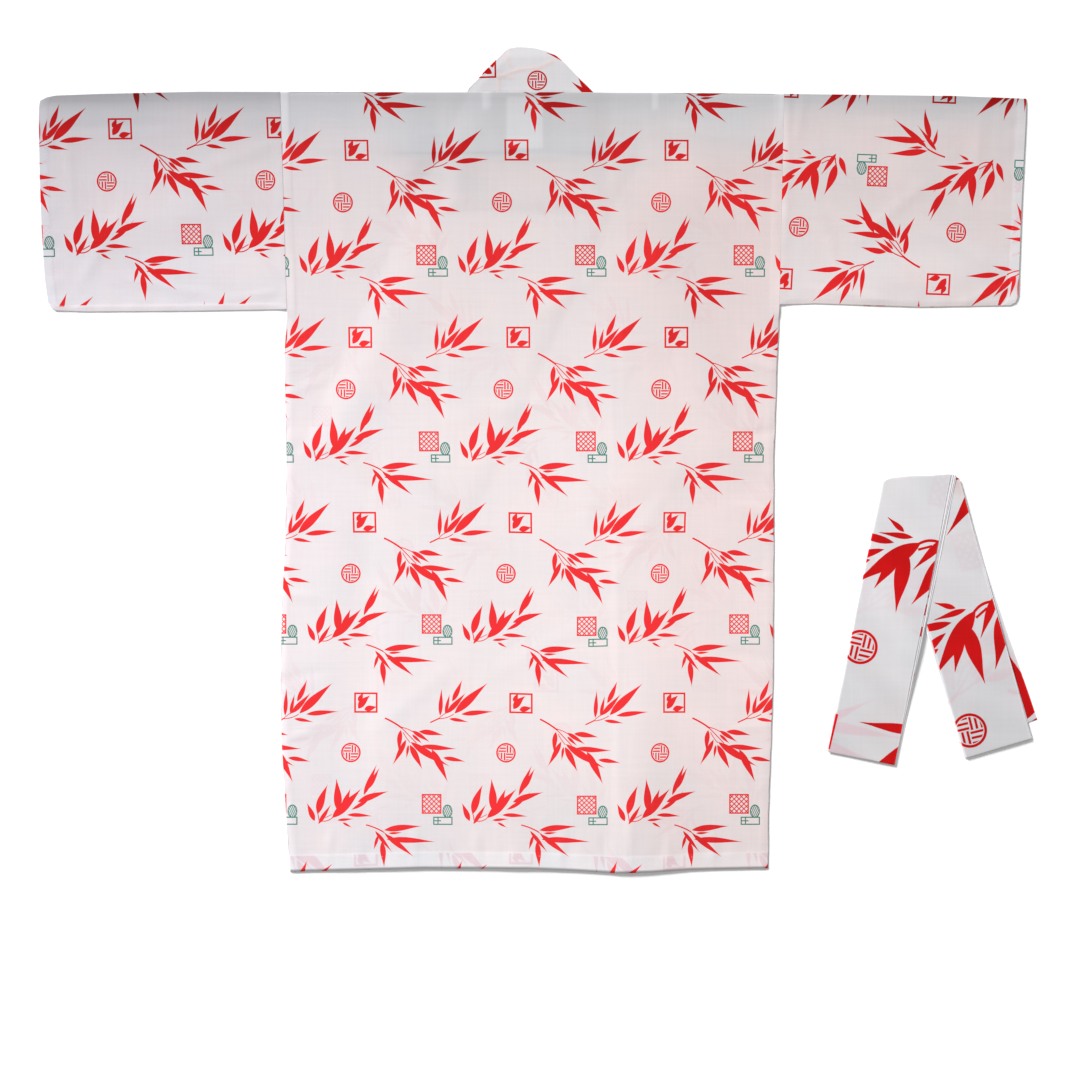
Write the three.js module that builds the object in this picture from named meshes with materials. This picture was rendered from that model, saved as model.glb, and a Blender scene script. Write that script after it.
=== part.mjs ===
// A short cotton yukata laid flat on its front, back up, with its folded belt beside it.
// Millimetres. +Z is up off the surface it lies on, +Y points to the collar and +X to the wearer's right.
// The origin is on that surface, on the centre-back line, half way down the garment.
import * as THREE from "three";

// ---- Driving dimensions ----
const CLOTH = 1; // wall of one layer of cloth
const GAP = 0.3; // between layers that lie on each other, and between pieces at a seam
const COLLAR_WALL = 2; // the collar band is folded over itself
const COLLAR_WIDTH = 56;
const BODY_HALF = 320; // half of the body's nominal width
const SHOULDER_Y = 504;
const NECK_X = { left: -76, right: 88 }; // where the collar leaves the shoulder fold
const OKUMI_SEAM_X = 12; // how far past the centre line the front panel runs to its overlap panel
const OKUMI_EDGE_X = 115; // free edge of the overlap panel, past the centre line
const COLLAR_END_Y = 60; // where the neckline meets the overlap panel's free edge
const NAPE_Y = 484; // the collar's nape stretch starts this far up, under the back panel
const HEM_TURN = 18; // width of the folded hem
const CUFF_TURN = 13; // width of the folded sleeve opening
const TURN_RISE = 0.6; // how much a folded hem stands over the single cloth
const LABEL = { x: -8, y: 464, width: 45, length: 67, wall: 1 }; // blank patch sewn inside the nape
// Cloth keeps the height of what lies under it for a reach past its edge, then comes down over a run.
const STEPS = {
  front: { reach: 30, run: 50 },
  back: { reach: 58, run: 80 },
};

// ---- Outlines, as laid ----
// Edges of the body from the shoulder fold to the hem.
const BODY_EDGES = [
  { y: 506, left: -326, right: 329 },
  { y: 214, left: -317, right: 322.5 },
  { y: 160, left: -320.5, right: 320 },
  { y: 30, left: -317.5, right: 315.5 },
  { y: -80, left: -319, right: 315.5 },
  { y: -160, left: -323.5, right: 315 },
  { y: -260, left: -325.5, right: 314.5 },
  { y: -340, left: -324, right: 312 },
  { y: -430, left: -318.5, right: 308.5 },
  { y: -512, left: -313, right: 308 },
];
const HEM_LINE = [
  { x: -320, y: -509 },
  { x: -230, y: -506.8 },
  { x: -140, y: -504.5 },
  { x: 0, y: -505.2 },
  { x: 60, y: -507.5 },
  { x: 120, y: -511 },
  { x: 165, y: -509.8 },
  { x: 215, y: -506.5 },
  { x: 320, y: -504.5 },
];
const SHOULDER_LINE = [
  { x: -640, y: 493 },
  { x: -633, y: 497.3 },
  { x: -622, y: 499.8 },
  { x: -560, y: 502 },
  { x: -430, y: 504.8 },
  { x: -300, y: 504.5 },
  { x: 160, y: 503.6 },
  { x: 350, y: 501.6 },
  { x: 545, y: 499.3 },
  { x: 645, y: 495.5 },
];
// Each sleeve: its lower edge from armhole to cuff, and its opening from the lower edge up.
const SLEEVES = {
  left: {
    side: -1,
    lower: [
      { x: -317, y: 221.5 },
      { x: -450, y: 219.5 },
      { x: -600, y: 218.5 },
      { x: -640, y: 220 },
    ],
    cuff: [
      { y: 218, x: -611 },
      { y: 222, x: -622 },
      { y: 231, x: -627.5 },
      { y: 260, x: -631.5 },
      { y: 330, x: -636 },
      { y: 400, x: -638.5 },
      { y: 470, x: -639.5 },
      { y: 486, x: -639 },
      { y: 494, x: -637.5 },
      { y: 500, x: -635 },
    ],
  },
  right: {
    side: 1,
    lower: [
      { x: 322, y: 227.5 },
      { x: 370, y: 229 },
      { x: 450, y: 226.5 },
      { x: 520, y: 224.5 },
      { x: 640, y: 226.5 },
    ],
    cuff: [
      { y: 226, x: 621 },
      { y: 230, x: 629 },
      { y: 239, x: 633 },
      { y: 280, x: 634.5 },
      { y: 360, x: 637.5 },
      { y: 430, x: 641 },
      { y: 470, x: 643 },
      { y: 498, x: 643.5 },
    ],
  },
};
// Outline of the collar where it stands out past the shoulder fold, from its base up: left and right ends.
const NAPE_OUTLINE = [
  { y: 484, left: -66, right: 78 },
  { y: 504.8, left: -74, right: 82.5 },
  { y: 505.6, left: -82.8, right: 80.5 },
  { y: 509.5, left: -80, right: 75.5 },
  { y: 515, left: -75, right: 70 },
  { y: 520, left: -70, right: 64.5 },
  { y: 530.5, left: -61, right: 54.5 },
  { y: 541, left: -50.5, right: 44.5 },
  { y: 551, left: -40, right: 33 },
  { y: 556.5, left: -35, right: 22 },
  { y: 560, left: -30, right: 9 },
  { y: 562.3, left: -23, right: -8 },
];
// The largest soft folds of the back and of the sleeves: centre, turn from +X, half length, half width and rise.
const FOLDS = [
  { x: 140, y: -400, turn: 88, long: 150, wide: 30, rise: 1.8 },
  { x: -215, y: -430, turn: 80, long: 120, wide: 32, rise: 1.4 },
  { x: -20, y: -455, turn: 95, long: 90, wide: 28, rise: 1.2 },
  { x: 250, y: -330, turn: 100, long: 150, wide: 30, rise: 1.2 },
  { x: -262, y: -180, turn: 84, long: 170, wide: 30, rise: 1.1 },
  { x: 236, y: 60, turn: 96, long: 160, wide: 34, rise: 1.2 },
  { x: -200, y: 160, turn: 62, long: 120, wide: 32, rise: 1 },
  { x: 205, y: 330, turn: 118, long: 110, wide: 30, rise: 1 },
  { x: -500, y: 330, turn: 12, long: 90, wide: 32, rise: 1.6 },
  { x: -420, y: 268, turn: -6, long: 100, wide: 26, rise: 1.4 },
  { x: 512, y: 262, turn: 4, long: 90, wide: 28, rise: 1.8 },
  { x: 440, y: 400, turn: -14, long: 100, wide: 32, rise: 1.4 },
];
// The belt, folded many times along its length and then once across, as two legs under a fold.
const BELT = {
  width: 90,
  layer: 1, // one doubled layer
  rest: 0.4, // between one leg and the next
  upper: { foot: [430, -362], head: [503, 1], layers: 4 },
  lower: { foot: [607, -349], head: [505, -3], layers: 3 },
  tail: { foot: [615, -326], head: [507, -8], layers: 1 },
};

// ---- Materials ----
const cotton = new THREE.MeshStandardMaterial({ color: 0xe9e4e5, roughness: 0.85, metalness: 0 });
const plainTape = new THREE.MeshStandardMaterial({ color: 0xf2f2f4, roughness: 0.7, metalness: 0 });

// ---- Plain functions ----
const mix = (a, b, share) => a + (b - a) * share;
const clamp01 = (v) => Math.min(1, Math.max(0, v));
const ease = (v) => {
  const c = clamp01(v);
  return c * c * (3 - 2 * c);
};

// Reads a table with straight runs between its rows; from and to are names of columns.
function read(table, from, to, at) {
  const rising = table[0][from] < table[table.length - 1][from];
  const past = table.findIndex((row) => (rising ? row[from] >= at : row[from] <= at));
  const upper = past < 0 ? table.length - 1 : Math.max(1, past);
  const [a, b] = [table[upper - 1], table[upper]];
  return mix(a[to], b[to], clamp01((at - a[from]) / (b[from] - a[from])));
}

const hemY = (x) => read(HEM_LINE, "x", "y", x);
const shoulderY = (x) => read(SHOULDER_LINE, "x", "y", x);

// Neckline of the front on the wearer's left (side -1) or right (side 1): from the neck point at the
// shoulder fold, across the centre, to the free edge of the overlap panel.
function neckline(side, neckX) {
  const start = new THREE.Vector2(neckX, SHOULDER_Y);
  const along = new THREE.Vector2(-side * OKUMI_EDGE_X, COLLAR_END_Y).sub(start);
  const length = along.length();
  along.normalize();
  const out = new THREE.Vector2(-side * Math.abs(along.y), Math.abs(along.x)); // towards the neck opening
  return {
    along,
    length,
    out,
    start,
    past: (x, y) => (x - start.x) * out.x + (y - start.y) * out.y,
    yAt: (x) => start.y + ((x - start.x) * along.y) / along.x,
  };
}
const NECKLINES = { left: neckline(-1, NECK_X.left), right: neckline(1, NECK_X.right) };

// ---- What lies under what ----
// How far a point is outside a piece, negative inside.
const outside = {
  front: (side, line) => (x, y) =>
    Math.max(line.past(x, y), -side * x - OKUMI_EDGE_X, side * x - BODY_HALF - 20),
  collar: (line) => (x, y) => {
    const across = line.past(x, y);
    const along = (x - line.start.x) * line.along.x + (y - line.start.y) * line.along.y;
    return Math.max(-across, across - COLLAR_WIDTH, along - line.length);
  },
  label: (x, y) =>
    Math.max(Math.abs(x - LABEL.x) - LABEL.width / 2, Math.abs(y - LABEL.y) - LABEL.length / 2),
  nape: (x, y) => Math.max(NECK_X.left - x, x - NECK_X.right, NAPE_Y - y),
};
const leftFront = outside.front(-1, NECKLINES.left);
const leftCollar = outside.collar(NECKLINES.left);
const rightFront = outside.front(1, NECKLINES.right);
const rightCollar = outside.collar(NECKLINES.right);
const share = (distance, step) => ease(1 - (distance - step.reach) / step.run);

// Height at which the wearer's right front lies: over the left front and its collar.
function overLeft(x, y, step = STEPS.front) {
  return Math.max(
    (CLOTH + GAP) * share(leftFront(x, y), step),
    (COLLAR_WALL + GAP) * share(leftCollar(x, y), step),
  );
}
function overCollars(x, y, step = STEPS.front) {
  const under = overLeft(x, y, step);
  const nape = (COLLAR_WALL + GAP) * share(outside.nape(x, y), step);
  return Math.max(nape, (under + COLLAR_WALL + GAP) * share(rightCollar(x, y), step), under);
}
// Height at which the back lies: over everything.
function overAll(x, y) {
  const step = STEPS.back;
  const fronts = (overLeft(x, y, step) + CLOTH + GAP) * share(rightFront(x, y), step);
  const collars = overCollars(x, y, step);
  const label = (collars + LABEL.wall + GAP) * share(outside.label(x, y), step);
  return Math.max(fronts, collars, label, CLOTH + GAP);
}

function folds(x, y) {
  return FOLDS.reduce((sum, fold) => {
    const turn = THREE.MathUtils.degToRad(fold.turn);
    const along = ((x - fold.x) * Math.cos(turn) + (y - fold.y) * Math.sin(turn)) / fold.long;
    const across = ((y - fold.y) * Math.cos(turn) - (x - fold.x) * Math.sin(turn)) / fold.wide;
    return sum + fold.rise * Math.exp(-across * across) * ease(1.4 - Math.abs(along));
  }, 0);
}

// ---- Walls ----
// A wall of cloth: a box of cells laid out by plan(s, t), lifted by underside(x, y) and as thick as wall(x, y).
// across and up are lists of stations from 0 to 1.
function clothWall({ name, across, up, plan, underside, wall, material = cotton }) {
  const [columns, rows] = [across.length - 1, up.length - 1];
  const geometry = new THREE.BoxGeometry(1, 1, 1, columns, rows, 1);
  const place = geometry.attributes.position;
  for (let i = 0; i < place.count; i++) {
    const s = across[Math.round((place.getX(i) + 0.5) * columns)];
    const t = up[Math.round((place.getY(i) + 0.5) * rows)];
    const [x, y] = plan(s, t);
    const layer = place.getZ(i) + 0.5;
    place.setXYZ(i, x, y, underside(x, y) + layer * wall(x, y));
  }
  geometry.computeVertexNormals();
  const mesh = new THREE.Mesh(geometry, material);
  mesh.name = name;
  return mesh;
}

const even = (cells) => Array.from({ length: cells + 1 }, (_, i) => i / cells);
// Even stations with close ones at the lower end, at the given shares.
const withLower = (shares, cells) => {
  const last = shares[shares.length - 1];
  return [0, ...shares, ...even(cells).slice(1).map((v) => mix(last, 1, v))];
};

// A plan between two edges of the body. fromX and toX are nominal; the outer edge follows the side seam.
function bodyPlan({ fromX, toX, top }) {
  return (s, t) => {
    const x = mix(fromX, toX, s);
    const y = mix(hemY(x), top(x), t);
    const leftShift = fromX <= -BODY_HALF ? (read(BODY_EDGES, "y", "left", y) + BODY_HALF) * (1 - s) : 0;
    const rightShift = toX >= BODY_HALF ? (read(BODY_EDGES, "y", "right", y) - BODY_HALF) * s : 0;
    return [x + leftShift + rightShift, y];
  };
}
// A single wall with its folded hem.
const hemmed = (x, y) => CLOTH + TURN_RISE * ease((HEM_TURN + 2 - (y - hemY(x))) / 2);
// Stations up a body panel: the given ones in the hem, then even rows to the foot of the armhole and above it.
const ARMHOLE_SHARE = 0.713;
const bodyRows = (below, above, hem = [0]) => [
  ...hem,
  ...even(below).slice(1).map((v) => mix(hem[hem.length - 1], ARMHOLE_SHARE, v)),
  ...even(above).slice(1).map((v) => mix(ARMHOLE_SHARE, 1, v)),
];

function backPanel() {
  return clothWall({
    name: "back",
    across: even(26),
    up: bodyRows(22, 9, [0, HEM_TURN / 1010, (HEM_TURN + 2.5) / 1010]),
    plan: bodyPlan({ fromX: -BODY_HALF, toX: BODY_HALF, top: shoulderY }),
    underside: (x, y) => overAll(x, y) + folds(x, y),
    wall: hemmed,
  });
}

// Front panel and overlap panel of one side. Both end on the neckline, and the front also on the shoulder fold.
function frontPanels(label, side, line, underside, cells) {
  const seam = -side * OKUMI_SEAM_X;
  const edge = -side * OKUMI_EDGE_X;
  const outer = side * BODY_HALF;
  const top = (x) => Math.min(side * (x - line.start.x) > 0 ? SHOULDER_Y * 2 : line.yAt(x), shoulderY(x));
  const ordered = (a, b) => (a < b ? { fromX: a, toX: b } : { fromX: b, toX: a });
  // The neck point needs a column of its own.
  const neckShare = (BODY_HALF - side * line.start.x) / (BODY_HALF + OKUMI_SEAM_X);
  const columns = [
    ...even(cells.outer).map((v) => v * neckShare),
    ...even(cells.inner).slice(1).map((v) => mix(neckShare, 1, v)),
  ];
  const fromLow = side < 0 ? columns : columns.map((v) => 1 - v).reverse();
  const front = clothWall({
    name: `front_${label}`,
    across: fromLow,
    up: bodyRows(cells.below, cells.above),
    plan: bodyPlan({ ...ordered(outer, seam), top }),
    underside,
    wall: () => CLOTH,
  });
  const overlap = clothWall({
    name: `overlap_${label}`,
    across: even(cells.overlap),
    up: bodyRows(cells.below, cells.above),
    plan: bodyPlan({ ...ordered(seam - side * GAP, edge), top }),
    underside,
    wall: () => CLOTH,
  });
  return [front, overlap];
}

// The stretch of collar that runs down one neckline, cut level at the nape and square at its end.
function collarSide(label, line, underside, cells) {
  return clothWall({
    name: `collar_${label}`,
    across: even(cells.across),
    up: even(cells.along),
    plan: (s, t) => {
      const out = mix(GAP, COLLAR_WIDTH, label === "left" ? s : 1 - s);
      const first = (line.start.y + line.out.y * out - NAPE_Y) / -line.along.y;
      const along = mix(line.length, first, t);
      return [
        line.start.x + line.out.x * out + line.along.x * along,
        line.start.y + line.out.y * out + line.along.y * along,
      ];
    },
    underside,
    wall: () => COLLAR_WALL,
  });
}

// The stretch of collar behind the neck. It stands out past the shoulder fold and lifts a little to its free edge.
function collarNape() {
  const [base, tip] = [NAPE_OUTLINE[0].y + GAP, NAPE_OUTLINE[NAPE_OUTLINE.length - 1].y];
  const lift = 3;
  return clothWall({
    name: "collar_nape",
    across: even(10),
    up: [0, 0.13, ...NAPE_OUTLINE.slice(1).map((row) => (row.y - base) / (tip - base))],
    plan: (s, t) => {
      const y = mix(base, tip, t);
      const left = read(NAPE_OUTLINE, "y", "left", y);
      const right = read(NAPE_OUTLINE, "y", "right", y);
      const crown = t * t * 1.5 * Math.sin(Math.PI * s);
      return [mix(left, right, s), y + crown];
    },
    underside: (x, y) => lift * ease((y - SHOULDER_Y - 6) / (tip - SHOULDER_Y)),
    wall: () => COLLAR_WALL,
  });
}

function neckLabel() {
  return clothWall({
    name: "neck_label",
    across: even(4),
    up: even(6),
    plan: (s, t) => [LABEL.x + (s - 0.5) * LABEL.width, LABEL.y + (t - 0.5) * LABEL.length],
    underside: overCollars,
    wall: () => LABEL.wall,
    material: plainTape,
  });
}

// One layer of a sleeve, from the armhole seam to its opening.
function sleeveLayer(label, layer, { side, lower, cuff }, cells) {
  const edge = side < 0 ? "left" : "right";
  const upper = layer === "back";
  const height = cuff[cuff.length - 1].y - cuff[0].y;
  const corner = [4, 8, 16, 34].map((rise) => rise / height);
  const turnShare = 1 - CUFF_TURN / 318;
  const out = [...even(cells.across).map((v) => v * (turnShare - 0.008)), turnShare, 1];
  const cuffX = (y) => read(cuff, "y", "x", y);
  return clothWall({
    name: `sleeve_${label}_${layer}`,
    across: side > 0 ? out : out.map((v) => 1 - v).reverse(),
    up: withLower(corner, cells.up),
    plan: (s, t) => {
      const outwards = side > 0 ? s : 1 - s;
      const nominal = side * mix(BODY_HALF, BODY_HALF * 2, outwards);
      const y = mix(read(lower, "x", "y", nominal), shoulderY(nominal), t);
      const seam = read(BODY_EDGES, "y", edge, y) + side * GAP;
      return [mix(seam, cuffX(y), outwards), y];
    },
    underside: (x, y) => (upper ? CLOTH + GAP + folds(x, y) : 0),
    wall: (x, y) => (upper ? CLOTH + TURN_RISE * ease((CUFF_TURN + 2 - side * (cuffX(y) - x)) / 2) : CLOTH),
  });
}

// ---- Belt ----
// One leg of the folded belt: a stack of layers whose long edges are notched between layers.
function beltLeg(name, { foot, head, layers }, underside) {
  const notch = 0.9;
  const round = 0.5;
  const half = BELT.width / 2;
  const stack = layers * BELT.layer;
  const spans = 6;
  const edge = Array.from({ length: layers }, (_, i) => [
    [half - notch, i * BELT.layer],
    [half, (i + 0.35) * BELT.layer],
    [half, (i + 0.65) * BELT.layer],
  ]).flat();
  edge.push([half - notch, stack]);
  const flat = even(spans).slice(1, -1).map((v) => mix(half - notch, -half + notch, v));
  const outline = [
    ...edge,
    ...flat.map((x) => [x, stack]),
    ...edge.map(([x, z]) => [-x, z]).reverse(),
    ...flat.map((x) => [-x, 0]),
  ];
  const shape = new THREE.Shape(outline.map(([x, z]) => new THREE.Vector2(x, z)));
  const along = new THREE.Vector2(head[0] - foot[0], head[1] - foot[1]);
  const steps = 16;
  const geometry = new THREE.ExtrudeGeometry(shape, { depth: 1, steps, bevelEnabled: false });
  const forward = along.clone().normalize();
  const stations = [0, 2 / along.length(), ...even(steps - 4).slice(1, -1), 1 - 2 / along.length(), 1];
  const place = geometry.attributes.position;
  const count = stations.length - 1;
  for (let i = 0; i < place.count; i++) {
    const t = stations[Math.round(place.getZ(i) * count)];
    const end = Math.min(t, 1 - t) === 0 ? round : 1; // the folded ends are rounded off
    const [across, level] = [place.getX(i), mix(stack / 2, place.getY(i), end)];
    const x = foot[0] + along.x * t - forward.y * across;
    const y = foot[1] + along.y * t + forward.x * across;
    place.setXYZ(i, x, y, underside(x, y) + (t === 0 || t === 1 ? level : place.getY(i)));
  }
  geometry.computeVertexNormals();
  const mesh = new THREE.Mesh(geometry, cotton);
  mesh.name = name;
  return mesh;
}

// Distance outside the strip that a leg covers.
function outsideLeg({ foot, head }) {
  const along = new THREE.Vector2(head[0] - foot[0], head[1] - foot[1]);
  const length = along.length();
  along.normalize();
  return (x, y) => {
    const [dx, dy] = [x - foot[0], y - foot[1]];
    const forward = dx * along.x + dy * along.y;
    const across = Math.abs(dx * along.y - dy * along.x);
    return Math.max(across - BELT.width / 2, -forward, forward - length);
  };
}

function belt() {
  const beltStep = (distance) => ease(1 - (distance - 16) / 60);
  const onTail = outsideLeg(BELT.tail);
  const onLower = outsideLeg(BELT.lower);
  const tailTop = BELT.tail.layers * BELT.layer + BELT.rest;
  const overTail = (x, y) => tailTop * beltStep(onTail(x, y));
  const lowerTop = BELT.lower.layers * BELT.layer + BELT.rest;
  const overLower = (x, y) =>
    Math.max(overTail(x, y), (overTail(x, y) + lowerTop) * beltStep(onLower(x, y)));
  return [
    beltLeg("belt_tail", BELT.tail, () => 0),
    beltLeg("belt_lower_leg", BELT.lower, overTail),
    beltLeg("belt_upper_leg", BELT.upper, overLower),
  ];
}

// ---- Assembly ----
const yukata = new THREE.Group();
const flat = () => 0;
yukata.add(
  ...frontPanels("left", -1, NECKLINES.left, flat, { outer: 5, inner: 3, overlap: 2, below: 8, above: 4 }),
  ...frontPanels("right", 1, NECKLINES.right, overLeft, { outer: 8, inner: 4, overlap: 4, below: 20, above: 9 }),
  collarSide("left", NECKLINES.left, flat, { across: 1, along: 12 }),
  collarSide("right", NECKLINES.right, overLeft, { across: 3, along: 26 }),
  collarNape(),
  neckLabel(),
  backPanel(),
);
for (const [label, sleeve] of Object.entries(SLEEVES)) {
  yukata.add(
    sleeveLayer(label, "front", sleeve, { across: 6, up: 6 }),
    sleeveLayer(label, "back", sleeve, { across: 10, up: 10 }),
  );
}
yukata.add(...belt());

export default yukata;
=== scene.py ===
import math
from functools import reduce

import bpy
import numpy as np
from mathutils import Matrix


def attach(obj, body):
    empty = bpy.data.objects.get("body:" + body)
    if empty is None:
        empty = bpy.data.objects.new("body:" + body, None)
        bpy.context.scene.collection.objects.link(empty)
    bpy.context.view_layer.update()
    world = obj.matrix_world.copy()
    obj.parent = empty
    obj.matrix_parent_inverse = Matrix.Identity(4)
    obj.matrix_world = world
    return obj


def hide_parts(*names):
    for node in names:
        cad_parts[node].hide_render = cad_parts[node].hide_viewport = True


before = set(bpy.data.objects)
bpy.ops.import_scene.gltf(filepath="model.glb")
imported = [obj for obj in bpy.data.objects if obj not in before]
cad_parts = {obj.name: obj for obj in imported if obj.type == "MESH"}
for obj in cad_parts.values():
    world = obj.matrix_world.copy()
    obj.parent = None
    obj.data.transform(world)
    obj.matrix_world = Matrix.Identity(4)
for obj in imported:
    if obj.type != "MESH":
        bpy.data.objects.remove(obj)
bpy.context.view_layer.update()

# A short cotton yukata laid flat on its front, back up, with its folded belt beside it.
# Sizes below are in millimetres in the garment's own frame; meshes are made in metres.
MM = 0.001

# ---- Cut and lay of the garment ----
CLOTH = 0.7  # height of one layer of cloth
GAP = 0.2  # air between two layers
COLLAR_WALL = 1.3
COLLAR_WIDTH = 56
BODY_HALF = 320  # half the body's width, before its drawn edges are read
SHOULDER_Y = 504
NECK_X = {"left": -76, "right": 88}  # where the collar leaves the shoulder fold
OVERLAP_SEAM_X = 12  # the overlap panel's seam and edge, across the centre from its own front
OVERLAP_EDGE_X = 115
COLLAR_END_Y = 60
NAPE_Y = 484
HEM_TURN = 22  # widths of the turned hem and of the turned sleeve opening
CUFF_TURN = 13
LABEL = {"x": -8, "y": 464, "width": 45, "length": 67, "wall": 0.7}
SHELL = 0.5  # cloth thickness of the dressed pieces
FOLD_RADIUS = 0.9  # where cloth turns over an edge
TUCK = 1.4  # the fronts end this far inside the back's outline
STEPS = {"front": (30, 50), "back": (58, 80)}  # reach and run of the cloth over an edge beneath it
SEAM_HEIGHT = 2.0  # both cloths come to this height where a sleeve is sewn to the body
SEAM_ALLOWANCE = 12.5  # width of the doubled cloth beside the body's seams
SLEEVE_SEAM = 8.1  # how far the left sleeve's lower seam has rolled to the back
RELIEF_DEPTH = 0.6  # share of their full rise that the folds and creases have
PUCKER = 0.14  # rise of the small waves along a line of sewing
TURN_STEP = 1.2  # run of the step down from doubled cloth to single


def table(columns, *rows):
    """Rows under named columns, as arrays."""
    return dict(zip(columns.split(), np.array(rows, float).T))


BODY_EDGES = table(
    "y left right",
    (506, -326, 329), (214, -317, 322.5), (160, -320.5, 320), (30, -317.5, 315.5), (-80, -319, 315.5),
    (-160, -323.5, 315), (-260, -325.5, 314.5), (-340, -324, 312), (-430, -318.5, 308.5), (-512, -313, 308),
)
HEM_LINE = table(
    "x y",
    (-320, -509), (-230, -506.8), (-140, -504.5), (0, -505.2), (60, -507.5), (120, -511), (165, -509.8),
    (215, -506.5), (320, -504.5),
)
SHOULDER_LINE = table(
    "x y",
    (-640, 493), (-633, 497.3), (-622, 499.8), (-560, 502), (-430, 504.8), (-300, 504.5), (160, 503.6), (350, 501.6),
    (545, 499.3), (645, 495.5),
)
SLEEVES = {
    "left": {
        "side": -1,
        "lower": table("x y", (-317, 221.5), (-450, 219.5), (-600, 218.5), (-640, 220)),
        "cuff": table("y x", (218, -611), (222, -622), (231, -627.5), (260, -631.5), (330, -636),
                      (400, -638.5), (470, -639.5), (486, -639), (494, -637.5), (500, -635)),
    },
    "right": {
        "side": 1,
        "lower": table("x y", (322, 227.5), (370, 229), (450, 226.5), (520, 224.5), (640, 226.5)),
        "cuff": table("y x", (226, 621), (230, 629), (239, 633), (280, 634.5), (360, 637.5),
                      (430, 641), (470, 643), (498, 643.5)),
    },
}
NAPE_OUTLINE = table(
    "y left right",
    (484, -70, 84), (503, -83.5, 82), (509.5, -80, 75.5), (515, -75, 70), (520, -70, 64.5),
    (530.5, -61, 54.5), (541, -50.5, 44.5), (551, -40, 33), (556.5, -35, 22), (560, -30, 9), (562.3, -23, -8),
)
# Soft folds and creases: centre, turn from +X, half length, half width and rise; a negative rise is a trough.
FOLDS = table(
    "x y turn long wide rise",
    (140, -400, 88, 150, 30, 1.8), (-215, -430, 80, 120, 32, 1.4), (-20, -455, 95, 90, 28, 1.2),
    (250, -330, 100, 150, 30, 1.2), (-262, -180, 84, 170, 30, 1.1), (236, 60, 96, 160, 34, 1.2),
    (-200, 160, 62, 120, 32, 1.0), (205, 330, 118, 110, 30, 1.0), (-500, 330, 12, 90, 32, 1.6),
    (-420, 268, -6, 100, 26, 1.4), (512, 262, 4, 90, 28, 1.8), (440, 400, -14, 100, 32, 1.4),
)
CREASES = table(
    "x y turn long wide rise",
    (-55, 418, 1, 120, 4, 0.45), (110, -150, 91, 330, 5, 0.4), (-118, 120, 89, 260, 6, -0.3),
    (-295, 120, 20, 30, 6, 0.6), (-298, 40, -15, 26, 7, -0.6), (-300, -60, 12, 30, 6, 0.6),
    (-302, -150, -8, 28, 8, 0.7), (-300, -255, 10, 32, 7, -0.6), (-298, -330, 22, 28, 6, 0.7),
    (296, 150, -18, 30, 6, 0.6), (298, 60, 12, 28, 7, -0.6), (294, -40, -10, 34, 7, 0.7),
    (296, -130, 15, 26, 6, 0.6), (292, -230, -14, 32, 8, -0.6), (290, -320, 8, 26, 6, 0.6),
    (-262, -478, 84, 22, 6, 0.8), (-190, -482, 96, 20, 5, -0.6), (-150, -476, 88, 26, 6, 0.7),
    (-70, -480, 92, 22, 6, 0.7), (40, -478, 86, 26, 7, 0.8), (96, -484, 95, 24, 6, -0.8),
    (128, -470, 88, 40, 8, 1.0), (178, -482, 84, 22, 6, 0.7), (236, -476, 97, 24, 6, 0.7),
    (60, 250, 35, 80, 12, 0.5), (-90, -60, 150, 90, 14, 0.5), (30, -210, 28, 95, 12, 0.45),
    (150, -60, 62, 80, 10, 0.5), (-160, -290, 40, 85, 12, 0.5), (200, -180, 140, 70, 10, 0.5),
    (-40, 90, 12, 110, 12, 0.4), (-230, 20, 110, 80, 10, 0.5), (90, 430, -8, 90, 10, 0.4),
    (-180, 440, 6, 100, 10, 0.4), (230, 450, -4, 70, 10, 0.4), (-250, 350, 100, 80, 9, 0.4),
    (-560, 300, 60, 60, 9, 0.7), (-600, 400, 95, 60, 8, 0.6), (-380, 420, 20, 60, 9, 0.5),
    (-470, 250, 170, 70, 7, 0.7), (-360, 240, 10, 40, 5, 0.6), (-540, 460, 3, 80, 8, -0.5),
    (390, 300, 110, 60, 9, 0.6), (470, 350, 40, 60, 9, 0.6), (580, 420, 84, 60, 8, 0.6),
    (560, 300, 150, 55, 9, 0.8), (600, 245, 20, 35, 6, 0.7), (420, 240, 172, 60, 6, 0.6),
    (350, 470, 80, 35, 6, 0.5), (500, 470, -3, 80, 9, -0.5),
)
BELT_WIDTH = 90
BELT_LAYER = 0.65
BELT_REST = 0.2
BELT_LEGS = {
    "upper": {"foot": (430, -362), "head": (503, 1), "layers": 4},
    "lower": {"foot": (607, -349), "head": (505, -3), "layers": 3},
    "tail": {"foot": (615, -326), "head": (507, -8), "layers": 1},
}


# ---- Plain functions on numbers and arrays ----
def read(rows, column, at):
    """Reads a column of a table at places in its first column, straight between the rows."""
    places = next(iter(rows.values()))
    order = np.argsort(places)
    return np.interp(at, places[order], rows[column][order])


def ease(value):
    value = np.clip(value, 0, 1)
    return value * value * (3 - 2 * value)


def mix(a, b, share):
    return a + (b - a) * share


def turned(x, y, degrees):
    """The point turned about the origin."""
    angle = math.radians(degrees)
    return x * math.cos(angle) - y * math.sin(angle), x * math.sin(angle) + y * math.cos(angle)


def hump(value, centre, width):
    """A smooth hump of height 1."""
    return np.exp(-(((value - centre) / width) ** 2))


def puckers(value, pitch, drift, sway=2.0):
    """Small uneven waves, from -1 to 1, that sewing draws up along a seam."""
    return np.sin(value / pitch + sway * np.sin(value / drift))


def ground(x, y):
    """The surface that the garment lies on."""
    return np.zeros_like(x)


def hem_y(x):
    return read(HEM_LINE, "y", x)


def shoulder_y(x):
    return read(SHOULDER_LINE, "y", x)


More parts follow.
